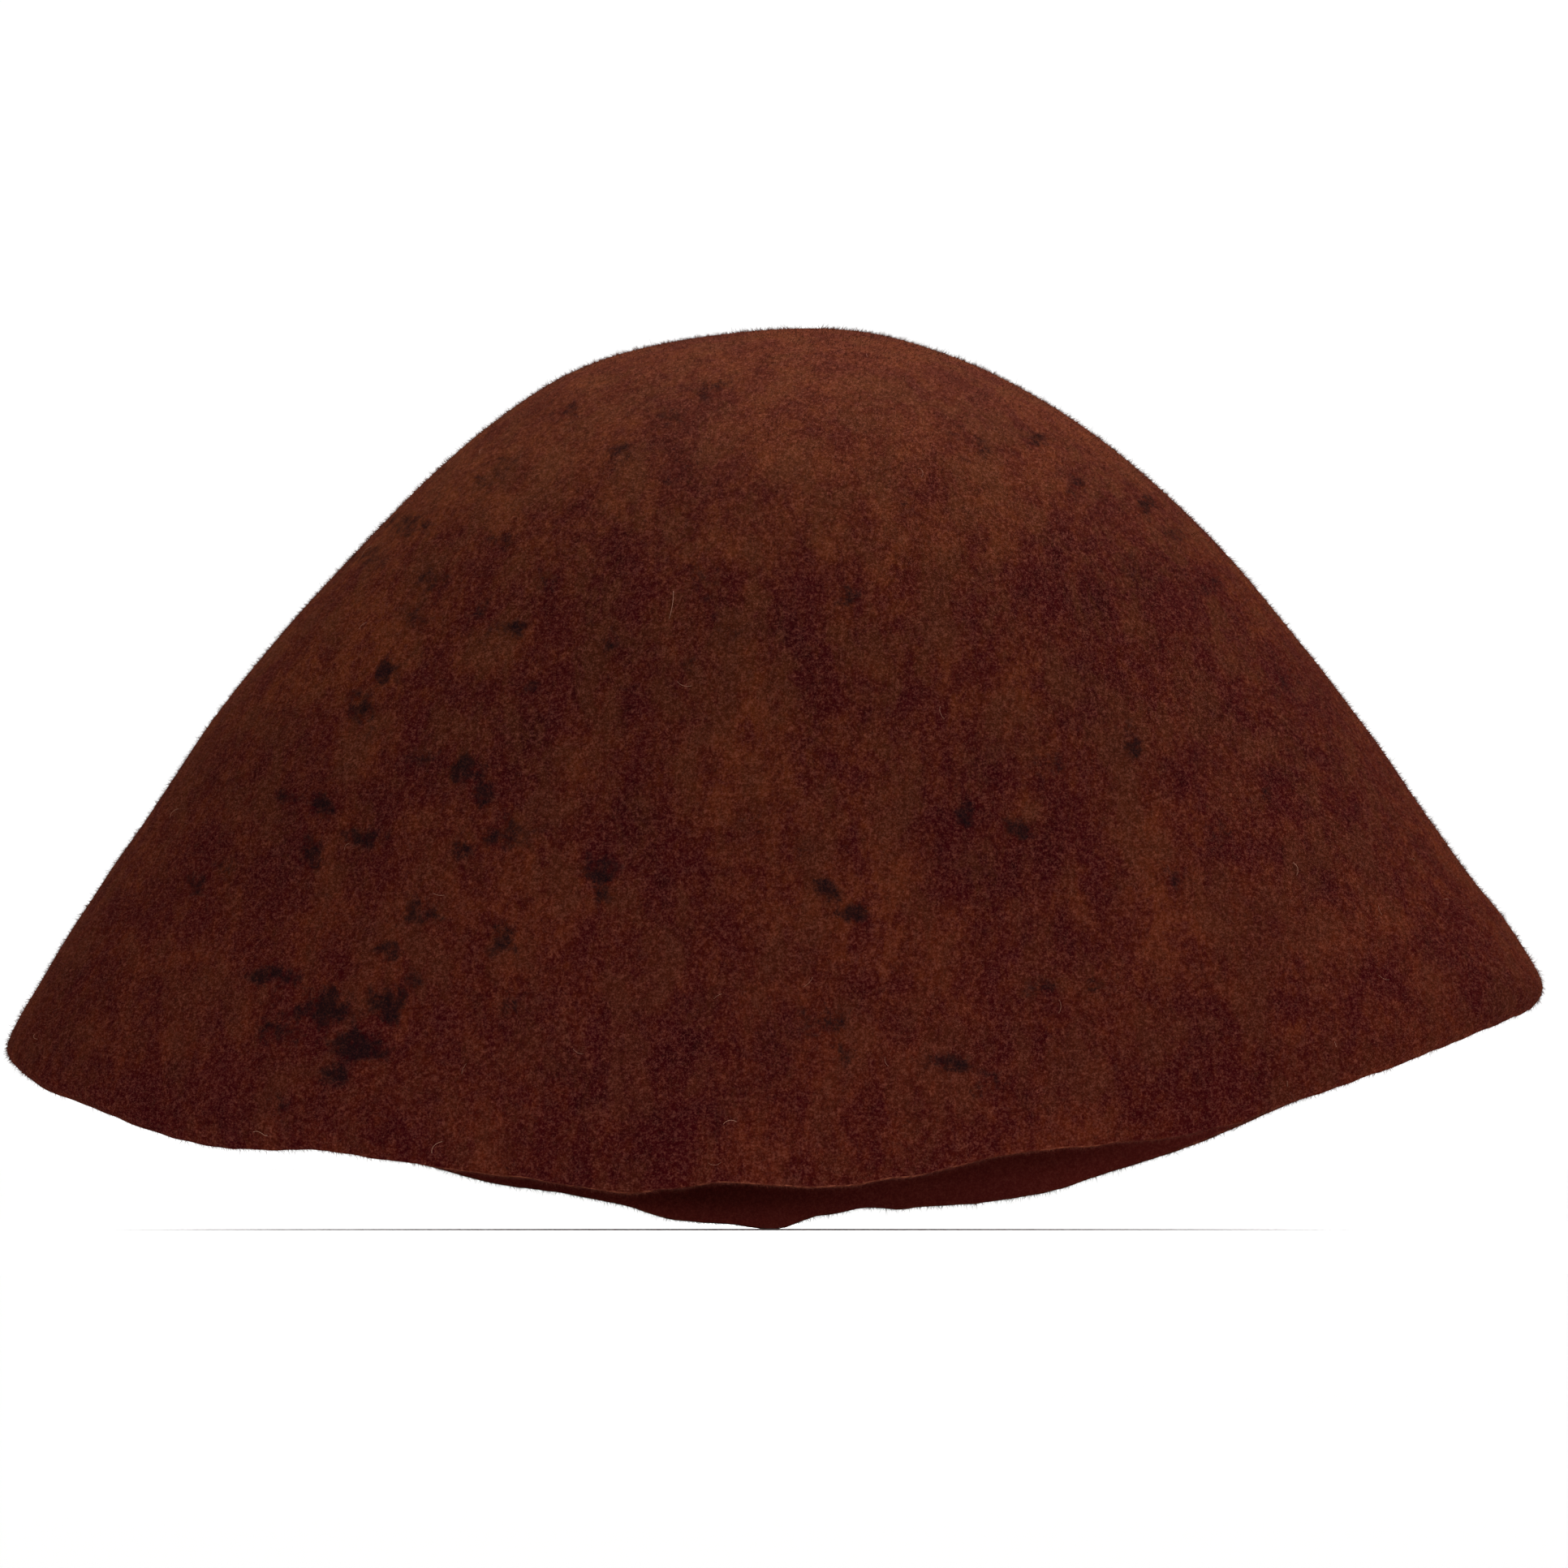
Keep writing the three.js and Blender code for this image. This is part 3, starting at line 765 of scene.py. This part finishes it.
def strip_section(start, end, depth, thickness, steps):
    """A strip's section with rounded edges: slant lengths and depths, all round it."""
    half = thickness / 2
    flat = np.linspace(start + half, end - half, steps)
    bend = np.radians([-60, -30, 0, 30, 60])
    lengths = [flat, end - half + half * np.cos(bend), flat[::-1], start + half - half * np.cos(bend)]
    depths = [
        np.full(steps, depth), depth + half + half * np.sin(bend),
        np.full(steps, depth + thickness), depth + half - half * np.sin(bend),
    ]
    return np.concatenate(lengths), np.concatenate(depths)


def band(name, section, angles, wraps, shape=None):
    """A band swept round the hood. shape changes the section's lengths and depths at each angle."""
    lengths, depths = (np.broadcast_to(part, (len(angles), len(section[0]))) for part in section)
    at = np.broadcast_to(angles[:, None], lengths.shape)
    if shape:
        lengths, depths = shape(lengths, at, depths)
    piece = loft(name, below(lengths, at, depths), wraps)
    attribute(piece, "along", (at - BACK) * HEAD_RADIUS)
    attribute(piece, "down", lengths)
    return piece


def around_back(count, gap=0.0):
    """Angles from the back of the hood round to the back, the two ends a gap in millimetres apart."""
    if gap == 0:
        return BACK + TURN * np.arange(count) / count
    return BACK + np.linspace(gap / 2 / HEAD_RADIUS, TURN - gap / 2 / HEAD_RADIUS, count)


def ring_places(angles, radius, height=0.0):
    """Places on a round ring, at which to take noise that joins up all the way round."""
    return np.stack([np.cos(angles) * radius, np.sin(angles) * radius, height + 0 * angles], -1)


def tip_lining():
    """The oval of satin in the top of the crown, drawn into small puckers by the seam round it."""
    columns, rows = 240, 30
    angles = np.arange(columns)[None, :] * TURN / columns

    def face(lengths, depth):
        lengths = lengths[:, None]
        pucker = np.sin(angles * 46 + 3 * wobble(ring_places(angles, 30), 12, 4.0))
        sag = 0.5 * smoothstep(lengths, 2, 20) * (1 - smoothstep(lengths, 24, 37))
        amount = 0.22 * pucker * smoothstep(lengths, 16, 36) + sag
        return below(lengths, angles, depth + amount)

    out = np.linspace(1.2, TIP, rows)
    rings = np.vstack([face(out, LINING_DEPTH), face(out[::-1], LINING_DEPTH + LINING)])
    middle = below(0, 0.0, 0)
    poles = [middle - [0, 0, LINING_DEPTH], middle - [0, 0, LINING_DEPTH + LINING]]
    piece = dome("tip_satin", rings, poles)
    finish(piece, satin_material("satin_tip"), "lining_tip")


def gathers(lengths, angles):
    """How far the side lining stands in from the felt: gathers tight at the tip that relax downwards."""
    ring = ring_places(angles, HEAD_RADIUS, lengths * 0.35)
    phase = angles * 44 + 2.4 * wobble(ring, 26, 3.0)
    fold = np.abs(np.sin(phase / 2)) ** 0.8
    broad = 0.5 + 0.5 * np.sin(angles * 15 + 2.0 * wobble(ring, 40, 7.0))
    tight = smoothstep(lengths, TIP, TIP + 5) * (1 - smoothstep(lengths, 52, 80))
    loose = smoothstep(lengths, TIP + 4, 62) * (1 - smoothstep(lengths, 66, 83))
    return 0.25 * fold + 0.9 * fold * tight + 1.5 * broad * loose + 0.3 * fold * loose


def side_lining():
    """The band of satin between the tip and the leather."""
    section = strip_section(TIP + CLEAR, LINING_END, LINING_DEPTH, LINING, 56)

    def shape(lengths, angles, depths):
        return lengths, depths + gathers(lengths, angles)

    piece = band("side_satin", section, around_back(660), True, shape)
    finish(piece, satin_material("satin_side"), "lining_side")


def piping():
    """The covered cord over the seam between tip and side."""
    turned = np.arange(12) * TURN / 12
    section = (TIP + PIPING_RADIUS * np.sin(turned), TAG_DEPTH + PIPING_RADIUS * (1 + np.cos(turned)))

    def shape(lengths, angles, depths):
        wrinkle = 1 + 0.07 * np.sin(angles * 150 + turned[None, :])
        middle = TAG_DEPTH + PIPING_RADIUS
        return TIP + (lengths - TIP) * wrinkle, middle + (depths - middle) * wrinkle

    piece = band("piping_cord", section, around_back(900), True, shape)
    finish(piece, satin_material("satin_piping"), "lining_piping")


def leather_band():
    """The leather sweatband: a little creased, a line embossed near its top, its ends meeting behind."""
    section = strip_section(LEATHER_TOP, HEAD_LINE, LEATHER_DEPTH, LEATHER, 90)

    def shape(lengths, angles, depths):
        inner = depths > LEATHER_DEPTH + LEATHER / 2
        line = np.exp(-(((lengths - LEATHER_TOP - 2.6) / 0.35) ** 2))
        ring = ring_places(angles, HEAD_RADIUS, lengths)
        wave = 0.12 * wobble(ring, 24, 2.0)
        rise = 0.35 * wobble(ring[:, :1] + 0 * ring, 30, 8.0) * (1 - smoothstep(lengths, 86, 100))
        return lengths + rise, depths + wave - 0.2 * line * inner

    piece = band("leather_band", section, around_back(420, BACK_GAP), False, shape)
    finish(piece, leather_material(), "sweatband")


def woven_tape():
    """The woven tape that carries the leather and its reed, with a slightly uneven lower edge."""
    section = strip_section(TAPE_START, TAPE_END, LINING_DEPTH, TAPE, 26)

    def shape(lengths, angles, depths):
        ring = ring_places(angles, HEAD_RADIUS)
        ripple = 0.12 * wobble(ring, 9, 1.0)
        uneven = 0.3 * wobble(ring, 12, 5.0) * smoothstep(lengths, 116, TAPE_END)
        return lengths + uneven, depths + ripple

    piece = band("woven_tape", section, around_back(420), True, shape)
    finish(piece, tape_material("tape"), "reed_tape")


def reed():
    """The cord in the fold of the tape, along the leather's lower edge."""
    turned = np.arange(12) * TURN / 12
    length = HEAD_LINE + CLEAR + REED_RADIUS
    depth = LEATHER_DEPTH + REED_RADIUS
    section = (length + REED_RADIUS * np.sin(turned), depth + REED_RADIUS * np.cos(turned))
    piece = band("reed_cord", section, around_back(640, REED_GAP), False)
    finish(piece, tape_material("tape_reed"), "sweatband_reed")


# ---- Threads ----


def tube_rings(path, radius, sides=8, ply_pitch=None):
    """The rings of a cord along a path of points; with a ply pitch it shows two twisted plies."""
    path = np.asarray(path, float)
    run = run_lengths(path)
    turned = np.arange(sides) * TURN / sides
    ahead = unit(np.gradient(path, axis=0))
    askew = [0.3, 0.2, 0.93]  # a direction that no path starts along
    normal = np.cross(ahead[0], askew)
    rings = []
    for point, direction, length in zip(path, ahead, run):
        normal = unit(normal - direction * np.dot(normal, direction))
        side = np.cross(direction, normal)
        reach = np.full(sides, radius)
        if ply_pitch:
            reach = radius * (0.86 + 0.14 * np.cos(2 * (turned - TURN * length / ply_pitch)))
        outward = np.outer(np.cos(turned), normal) + np.outer(np.sin(turned), side)
        rings.append(point + reach[:, None] * outward)
    return np.array(rings)


def thread(name, path, material, node, sides=6, ply_pitch=1.6):
    """A two-ply thread along a path of points, in the place of a CAD node."""
    piece = loft(name, tube_rings(path, THREAD_RADIUS, sides, ply_pitch), False)
    finish(piece, thread_material(material), node)


def zigzag_seam():
    """The machine zigzag that joins the leather to its tape: each corner goes down into the leather."""
    steps_each = 11
    along = np.linspace(0, 2 * ZIGZAGS, 2 * ZIGZAGS * steps_each + 1)
    angles = BACK + THREAD_START + (TURN - 2 * THREAD_START) * along / (2 * ZIGZAGS)
    swing = np.abs((along % 2) - 1)
    corner = np.abs(2 * swing - 1) ** 6
    rounded = 0.5 - 0.5 * np.cos(math.pi * swing)
    lengths = ZIGZAG_LINE + ZIGZAG_REACH * (0.3 * rounded + 0.7 * swing)
    depths = LEATHER_FACE + CLEAR + THREAD_RADIUS - 0.24 * corner
    thread("zigzag_thread", below(lengths, angles, depths), "thread_zigzag", "sweatband_seam")


def tacking():
    """The hand stitches that tack the tape to the felt."""
    stitches = 40
    along = np.linspace(0, stitches, stitches * 40 + 1)
    angles = BACK + THREAD_START + (TURN - 2 * THREAD_START) * along / stitches
    lengths = TACK_LINE + 0.5 * np.sin(TURN * along)
    dip = np.clip(np.cos(TURN * along), 0, 1) ** 2
    depths = LINING_DEPTH + TAPE + CLEAR + THREAD_RADIUS - 0.2 * dip
    thread("tack_thread", below(lengths, angles, depths), "thread_tack", "tacking_thread")


def back_lacing():
    """The lacing that draws the leather's two ends together."""
    crossings = 9
    reach = 2.2
    lengths = np.linspace(LACING_START, LACING_END, crossings + 1)
    around = skin_frame(lengths / SLANT, np.full(lengths.shape, BACK))[1]
    side = np.where(np.arange(crossings + 1) % 2, reach, -reach)
    depth = np.full(lengths.shape, LEATHER_FACE + CLEAR + 2 * THREAD_RADIUS)
    points = below(lengths, np.full(lengths.shape, BACK), depth) + around * side[:, None]
    path = smooth_curve(points, 18, 0.2)
    thread("lacing_thread", path, "thread_lacing", "back_lacing", sides=8, ply_pitch=1.8)


# ---- The little bow, and the tag ----

RIBBON_WIDTH = 6
RIBBON = 0.4
LOOP_LENGTH = 10
LOOP_HEIGHT = 3.4
TAIL_LENGTH = 11
TAIL_SPREAD = 0.6
TAIL_LIFT = 1.4
NOTCH = 3
KNOT_HALF = 2
KNOT_HEIGHT = TAIL_LIFT + RIBBON + CLEAR + LOOP_HEIGHT / 2
BOW_LINE = HEAD_LINE - 20


def on_leather(points):
    """Points of the bow, (along the band, downhill, off the leather), as points of the hat."""
    share = np.array(BOW_LINE / SLANT)
    downhill, around, inward = skin_frame(share, np.array(BACK))
    origin = skin(share, np.array(BACK)) + inward * LEATHER_FACE
    return origin + points @ np.stack([around, downhill, inward])


def ribbon_ring(width, thickness, across=7):
    """A ribbon's cross section with softened edges: (across, through)."""
    half, deep = width / 2, thickness / 2
    over = np.linspace(-half + deep, half - deep, across)
    shoulder, step = half - deep * 0.3, deep * 0.7
    top = [(u, deep) for u in over] + [(shoulder, step), (half, 0), (shoulder, -step)]
    under = [(u, -deep) for u in over[::-1]] + [(-shoulder, -step), (-half, 0), (-shoulder, step)]
    return np.array(top + under)


def bow_loop(name, side, node):
    """One loop: the ribbon goes out, turns back, and is pinched where the knot holds it."""
    centre = side * (KNOT_HALF + CLEAR + LOOP_LENGTH / 2)
    half_long = (LOOP_LENGTH - RIBBON) / 2
    half_high = (LOOP_HEIGHT - RIBBON) / 2
    rings = []
    for t in np.arange(56) * TURN / 56:
        out = 0.5 + 0.5 * math.cos(t)
        width = RIBBON_WIDTH * (0.62 + 0.38 * float(smoothstep(out, 0.05, 0.7)))
        pinch = 0.62 + 0.38 * float(smoothstep(out, 0.0, 0.35))
        here = np.array([side * half_long * math.cos(t), half_high * math.sin(t) * pinch])
        outward = unit(np.array([side * math.cos(t) * half_high, math.sin(t) * half_long]))
        cup = 0.16 * math.sin(t)
        ring = []
        for across, through in ribbon_ring(width, RIBBON):
            sag = cup * (across / RIBBON_WIDTH * 2) ** 2
            x = centre + here[0] + outward[0] * (through - sag)
            z = KNOT_HEIGHT + here[1] + outward[1] * (through - sag)
            ring.append((x, across, z))
        rings.append(ring)
    piece = loft(name, on_leather(np.array(rings)), True)
    finish(piece, ribbon_material(name), node)


def bow_tail(name, side, node):
    """One tail: it leaves the knot at a slant, waves a little and ends in a swallow cut."""
    steps, across = 34, 9
    half = RIBBON_WIDTH / 2
    turned = side * TAIL_SPREAD
    grid = []
    for face in (1, -1):
        for v in np.linspace(0, 1, steps):
            for u in np.linspace(-1, 1, across):
                width = half * (0.86 + 0.14 * float(smoothstep(v, 0, 0.3)))
                x = u * width
                y = v * (TAIL_LENGTH - NOTCH * (1 - abs(u)))
                wave = 0.22 * math.sin(4.2 * v + 0.6 * side) + 0.12 * u * u
                z = TAIL_LIFT + RIBBON / 2 + wave * v + face * RIBBON / 2
                along = x * math.cos(turned) + y * math.sin(turned)
                down = y * math.cos(turned) - x * math.sin(turned)
                grid.append((along + side * (half + 0.4), down + 1, z))
    piece = slab(name, on_leather(np.array(grid)), steps, across)
    finish(piece, ribbon_material(name), node)


def slab(name, points, rows, columns):
    """A thin closed solid from two grids of points, one face after the other."""
    one = rows * columns
    faces = grid_faces(rows, columns, False).tolist()
    faces += grid_faces(rows, columns, False, one, True).tolist()
    edge = [(0, c) for c in range(columns)] + [(r, columns - 1) for r in range(1, rows)]
    edge += [(rows - 1, c) for c in range(columns - 2, -1, -1)] + [(r, 0) for r in range(rows - 2, 0, -1)]
    numbers = [r * columns + c for r, c in edge]
    for here, there in zip(numbers, numbers[1:] + numbers[:1]):
        faces.append((here, there, there + one, here + one))
    return mesh_object(name, points, faces)


def bow_knot():
    """The knot: the ribbon wrapped once over the middle, bulging between its two pinched ends."""
    rings = []
    length = RIBBON_WIDTH + 1
    for v in np.linspace(-1, 1, 26):
        bulge = math.sqrt(max(1 - abs(v) ** 5, 0.12))
        ring = []
        for t in np.arange(28) * TURN / 28:
            crease = 1 - 0.05 * math.cos(6 * t + 2 * v) - 0.05 * math.sin(9 * t)
            x = KNOT_HALF * math.cos(t) * bulge * crease
            z = KNOT_HEIGHT + LOOP_HEIGHT / 2 * math.sin(t) * bulge * crease
            ring.append((x, v * length / 2, z))
        rings.append(ring)
    piece = loft("bow_knot_ribbon", on_leather(np.array(rings)), False)
    finish(piece, ribbon_material("bow_knot_ribbon"), "bow_knot")


def blank_tag():
    """A blank tag tucked behind the leather, its upper end curling away from the satin."""
    width, height, shown = 16, 15, 7
    steps, across = 30, 25
    upper = LEATHER_TOP - shown
    grid = []
    for face in (0, 1):
        for v in np.linspace(0, 1, steps):
            for u in np.linspace(-1, 1, across):
                corner = 1.6 * max(abs(u) - 0.8, 0) ** 2 / 0.04 * (1 - v) ** 6
                length = upper + height * v + corner
                curl = 0.9 * (1 - float(smoothstep(length, upper, LEATHER_TOP - 1))) * (1 + 0.3 * u)
                angle = TAG_ANGLE + u * width / 2 / HEAD_RADIUS
                grid.append((length, angle, TAG_DEPTH + curl + 0.15 * (1 - v) + face * TAG))
    lengths, angles, depths = np.array(grid).T
    piece = slab("blank_tag", below(lengths, angles, depths), steps, across)
    finish(piece, tag_material(), "size_tag")


# ---- Materials of the fittings ----


def satin_material(name):
    """Brown lining satin: fine warp lines, a soft lustre, faded and marked here and there."""
    n = Nodes(name)
    warp = n.noise(0.5, 2, 0.6, at=n.stretched(z=0.06))
    cloudy = n.noise(22, 5, 0.6, 0.4)
    colour = n.mix(n.spread(cloudy, 0.38, 0.64), srgb(70, 43, 29), srgb(118, 82, 58))
    colour = n.mix(n.spread(warp, 0.3, 0.7, 0, 0.35), colour, srgb(146, 108, 80))
    worn = n.spread(n.noise(7, 6, 0.7), 0.6, 0.72, 0, 0.5)
    colour = n.mix(worn, colour, srgb(56, 34, 24))
    rough = n.spread(warp, 0.3, 0.7, 0.34, 0.5)
    normal = n.bump(n.noise(9, 3, 0.5), 0.5, 0.35)
    normal = n.bump(warp, 0.06, 0.6, under=normal)
    return n.done(colour, rough, normal, sheen=0.25, sheen_roughness=0.4, sheen_tint=srgb(214, 180, 150))


def leather_material():
    """Tan leather: pebbled grain, scuffs, and darker low down where the head has rubbed and sweated."""
    n = Nodes("leather")
    cells = n.make("ShaderNodeTexVoronoi", feature="DISTANCE_TO_EDGE")
    n.put(cells.inputs["Vector"], n.place)
    cells.inputs["Scale"].default_value = 900
    grain = n.spread(cells.outputs["Distance"], 0.0, 0.28)
    cloudy = n.noise(26, 5, 0.62, 0.3)
    colour = n.mix(n.spread(cloudy, 0.36, 0.64), srgb(98, 56, 30), srgb(142, 92, 54))
    sweat = n.math("MULTIPLY_ADD", n.noise(14, 5, 0.65), 14, n.attribute("down"))
    colour = n.mix(n.spread(sweat, 108, 120, 0, 0.75), colour, srgb(62, 34, 20))
    colour = n.mix(n.spread(grain, 0, 1, 0.45, 0), colour, srgb(58, 32, 18))
    scuff = n.spread(n.noise(2.2, 5, 0.75, at=n.stretched(z=3)), 0.62, 0.75, 0, 0.5)
    colour = n.mix(scuff, colour, srgb(168, 122, 82))
    rough = n.spread(n.noise(5, 4, 0.6), 0.3, 0.7, 0.42, 0.66)
    normal = n.bump(n.noise(11, 4, 0.6), 0.35, 0.5)
    normal = n.bump(grain, 0.12, 0.7, under=normal)
    return n.done(colour, rough, normal, specular=0.4)


def tape_material(name):
    """Dark woven tape: ribs across it and threads along it, slightly fluffed and faded."""
    n = Nodes(name)
    ribs = n.math("SINE", n.math("MULTIPLY", n.attribute("along"), TURN / 0.9))
    threads = n.math("SINE", n.math("MULTIPLY", n.attribute("down"), TURN / 0.6))
    weave = n.math("MULTIPLY_ADD", ribs, 0.25, 0.5)
    weave = n.math("MULTIPLY_ADD", n.math("MULTIPLY", ribs, threads), 0.25, weave)
    cloudy = n.noise(12, 5, 0.65)
    colour = n.mix(n.spread(cloudy, 0.35, 0.66), srgb(40, 27, 21), srgb(72, 52, 40))
    colour = n.mix(n.spread(weave, 0, 0.6, 0.6, 0), colour, srgb(24, 16, 13))
    colour = n.mix(n.spread(n.noise(0.5, 3, 0.7), 0.55, 0.75, 0, 0.4), colour, srgb(104, 80, 62))
    normal = n.bump(weave, 0.16, 0.8)
    return n.done(colour, 0.86, normal, sheen=0.15, sheen_tint=srgb(150, 124, 104), specular=0.2)


def thread_material(name):
    """Waxed cotton thread with loose fibres."""
    n = Nodes(name)
    colour = n.mix(n.spread(n.noise(3.5, 4, 0.7), 0.35, 0.65), srgb(128, 98, 66), srgb(188, 158, 118))
    fine = n.noise(0.25, 3, 0.7, at=n.stretched(x=1.6, y=1.6))
    colour = n.mix(n.spread(fine, 0.35, 0.7, 0.5, 0), colour, srgb(92, 66, 44))
    normal = n.bump(fine, 0.08, 0.7)
    return n.done(colour, 0.72, normal, sheen=0.1, sheen_tint=srgb(200, 176, 140), specular=0.3)


def ribbon_material(name):
    """Dark grosgrain ribbon: fine darker ribs over a softly uneven colour."""
    n = Nodes(name)
    wave = n.make("ShaderNodeTexWave", wave_type="BANDS", bands_direction="Z")
    n.put(wave.inputs["Vector"], n.place)
    wave.inputs["Scale"].default_value = 520
    wave.inputs["Distortion"].default_value = 0.6
    wave.inputs["Detail"].default_value = 2
    ribs = wave.outputs["Fac"]
    colour = n.mix(n.spread(n.noise(4, 5, 0.65), 0.35, 0.65), srgb(44, 24, 20), srgb(76, 44, 36))
    colour = n.mix(n.spread(ribs, 0, 1, 0.5, 0), colour, srgb(26, 14, 12))
    normal = n.bump(ribs, 0.07, 0.8)
    return n.done(colour, 0.55, normal, sheen=0.2, sheen_tint=srgb(150, 110, 96), specular=0.35)


def tag_material():
    """Plain off-white tag, yellowed unevenly, with a woven tooth."""
    n = Nodes("tag")
    colour = n.mix(n.spread(n.noise(6, 5, 0.65), 0.35, 0.65), srgb(206, 192, 162), srgb(226, 217, 194))
    colour = n.mix(n.spread(n.noise(1.8, 4, 0.7), 0.6, 0.72, 0, 0.5), colour, srgb(176, 150, 112))
    tooth = n.noise(0.35, 3, 0.75)
    colour = n.mix(n.spread(tooth, 0.3, 0.6, 0.25, 0), colour, srgb(160, 142, 112))
    return n.done(colour, 0.85, n.bump(tooth, 0.05, 0.6), specular=0.25)


# ---- Camera, floor and light ----


def camera():
    """A long lens square to the hat's wide face, just above the floor; lengths here are in metres."""
    data = bpy.data.cameras.new("camera")
    view = bpy.data.objects.new("camera", data)
    bpy.context.scene.collection.objects.link(view)
    distance = 8.0
    frame_width = 0.4304
    target = Vector((0.0029, 0, 0.1223))
    view.location = Vector((target.x, -distance, 0.02))
    aim = target - view.location
    view.rotation_euler = aim.to_track_quat("-Z", "Y").to_euler()
    data.sensor_width = 36
    data.lens = data.sensor_width * aim.length / frame_width
    data.clip_end = 100
    bpy.context.scene.camera = view


def floor():
    """A plain white floor, wide enough to reach past every view."""
    reach = 40000
    corners = [(-reach, -reach, 0), (reach, -reach, 0), (reach, reach, 0), (-reach, reach, 0)]
    piece = mesh_object("floor", corners, [(0, 1, 2, 3)])
    n = Nodes("floor")
    colour = n.mix(n.noise(900, 2), srgb(250, 250, 249), srgb(253, 253, 253))
    piece.data.materials.append(n.done(colour, 0.9, specular=0.1))


def soft_panel(name, place, aim, size, power, spread=180):
    """A soft rectangular light; size in metres, power in watts, spread in degrees."""
    data = bpy.data.lights.new(name, "AREA")
    data.shape = "RECTANGLE"
    data.size, data.size_y = size
    data.energy = power
    data.spread = math.radians(spread)
    light = bpy.data.objects.new(name, data)
    bpy.context.scene.collection.objects.link(light)
    light.location = place
    light.rotation_euler = (Vector(aim) - Vector(place)).to_track_quat("-Z", "Y").to_euler()


def lighting():
    """A bright white room, a soft panel above the crown and to its right, and a low strip in front."""
    world = bpy.data.worlds.new("studio")
    bpy.context.scene.world = world
    world.use_nodes = True
    background = world.node_tree.nodes["Background"]
    background.inputs["Color"].default_value = (1, 1, 1, 1)
    background.inputs["Strength"].default_value = 1.04
    soft_panel("key", (0.35, 0.0, 1.3), (0.02, 0, 0.2), (0.5, 0.5), 7.5, 70)
    soft_panel("fill", (0.0, -3.0, 0.125), (0, 0, 0.08), (2.0, 0.10), 40)


camera()
floor()
lighting()
felt_hood()
nap()
fringe()
lint()
tip_lining()
side_lining()
piping()
woven_tape()
leather_band()
reed()
zigzag_seam()
tacking()
back_lacing()
bow_knot()
bow_loop("bow_left_loop_ribbon", -1, "bow_left_loop")
bow_loop("bow_right_loop_ribbon", 1, "bow_right_loop")
bow_tail("bow_left_tail_ribbon", -1, "bow_left_tail")
bow_tail("bow_right_tail_ribbon", 1, "bow_right_tail")
blank_tag()
bpy.context.scene.view_settings.view_transform = "Standard"
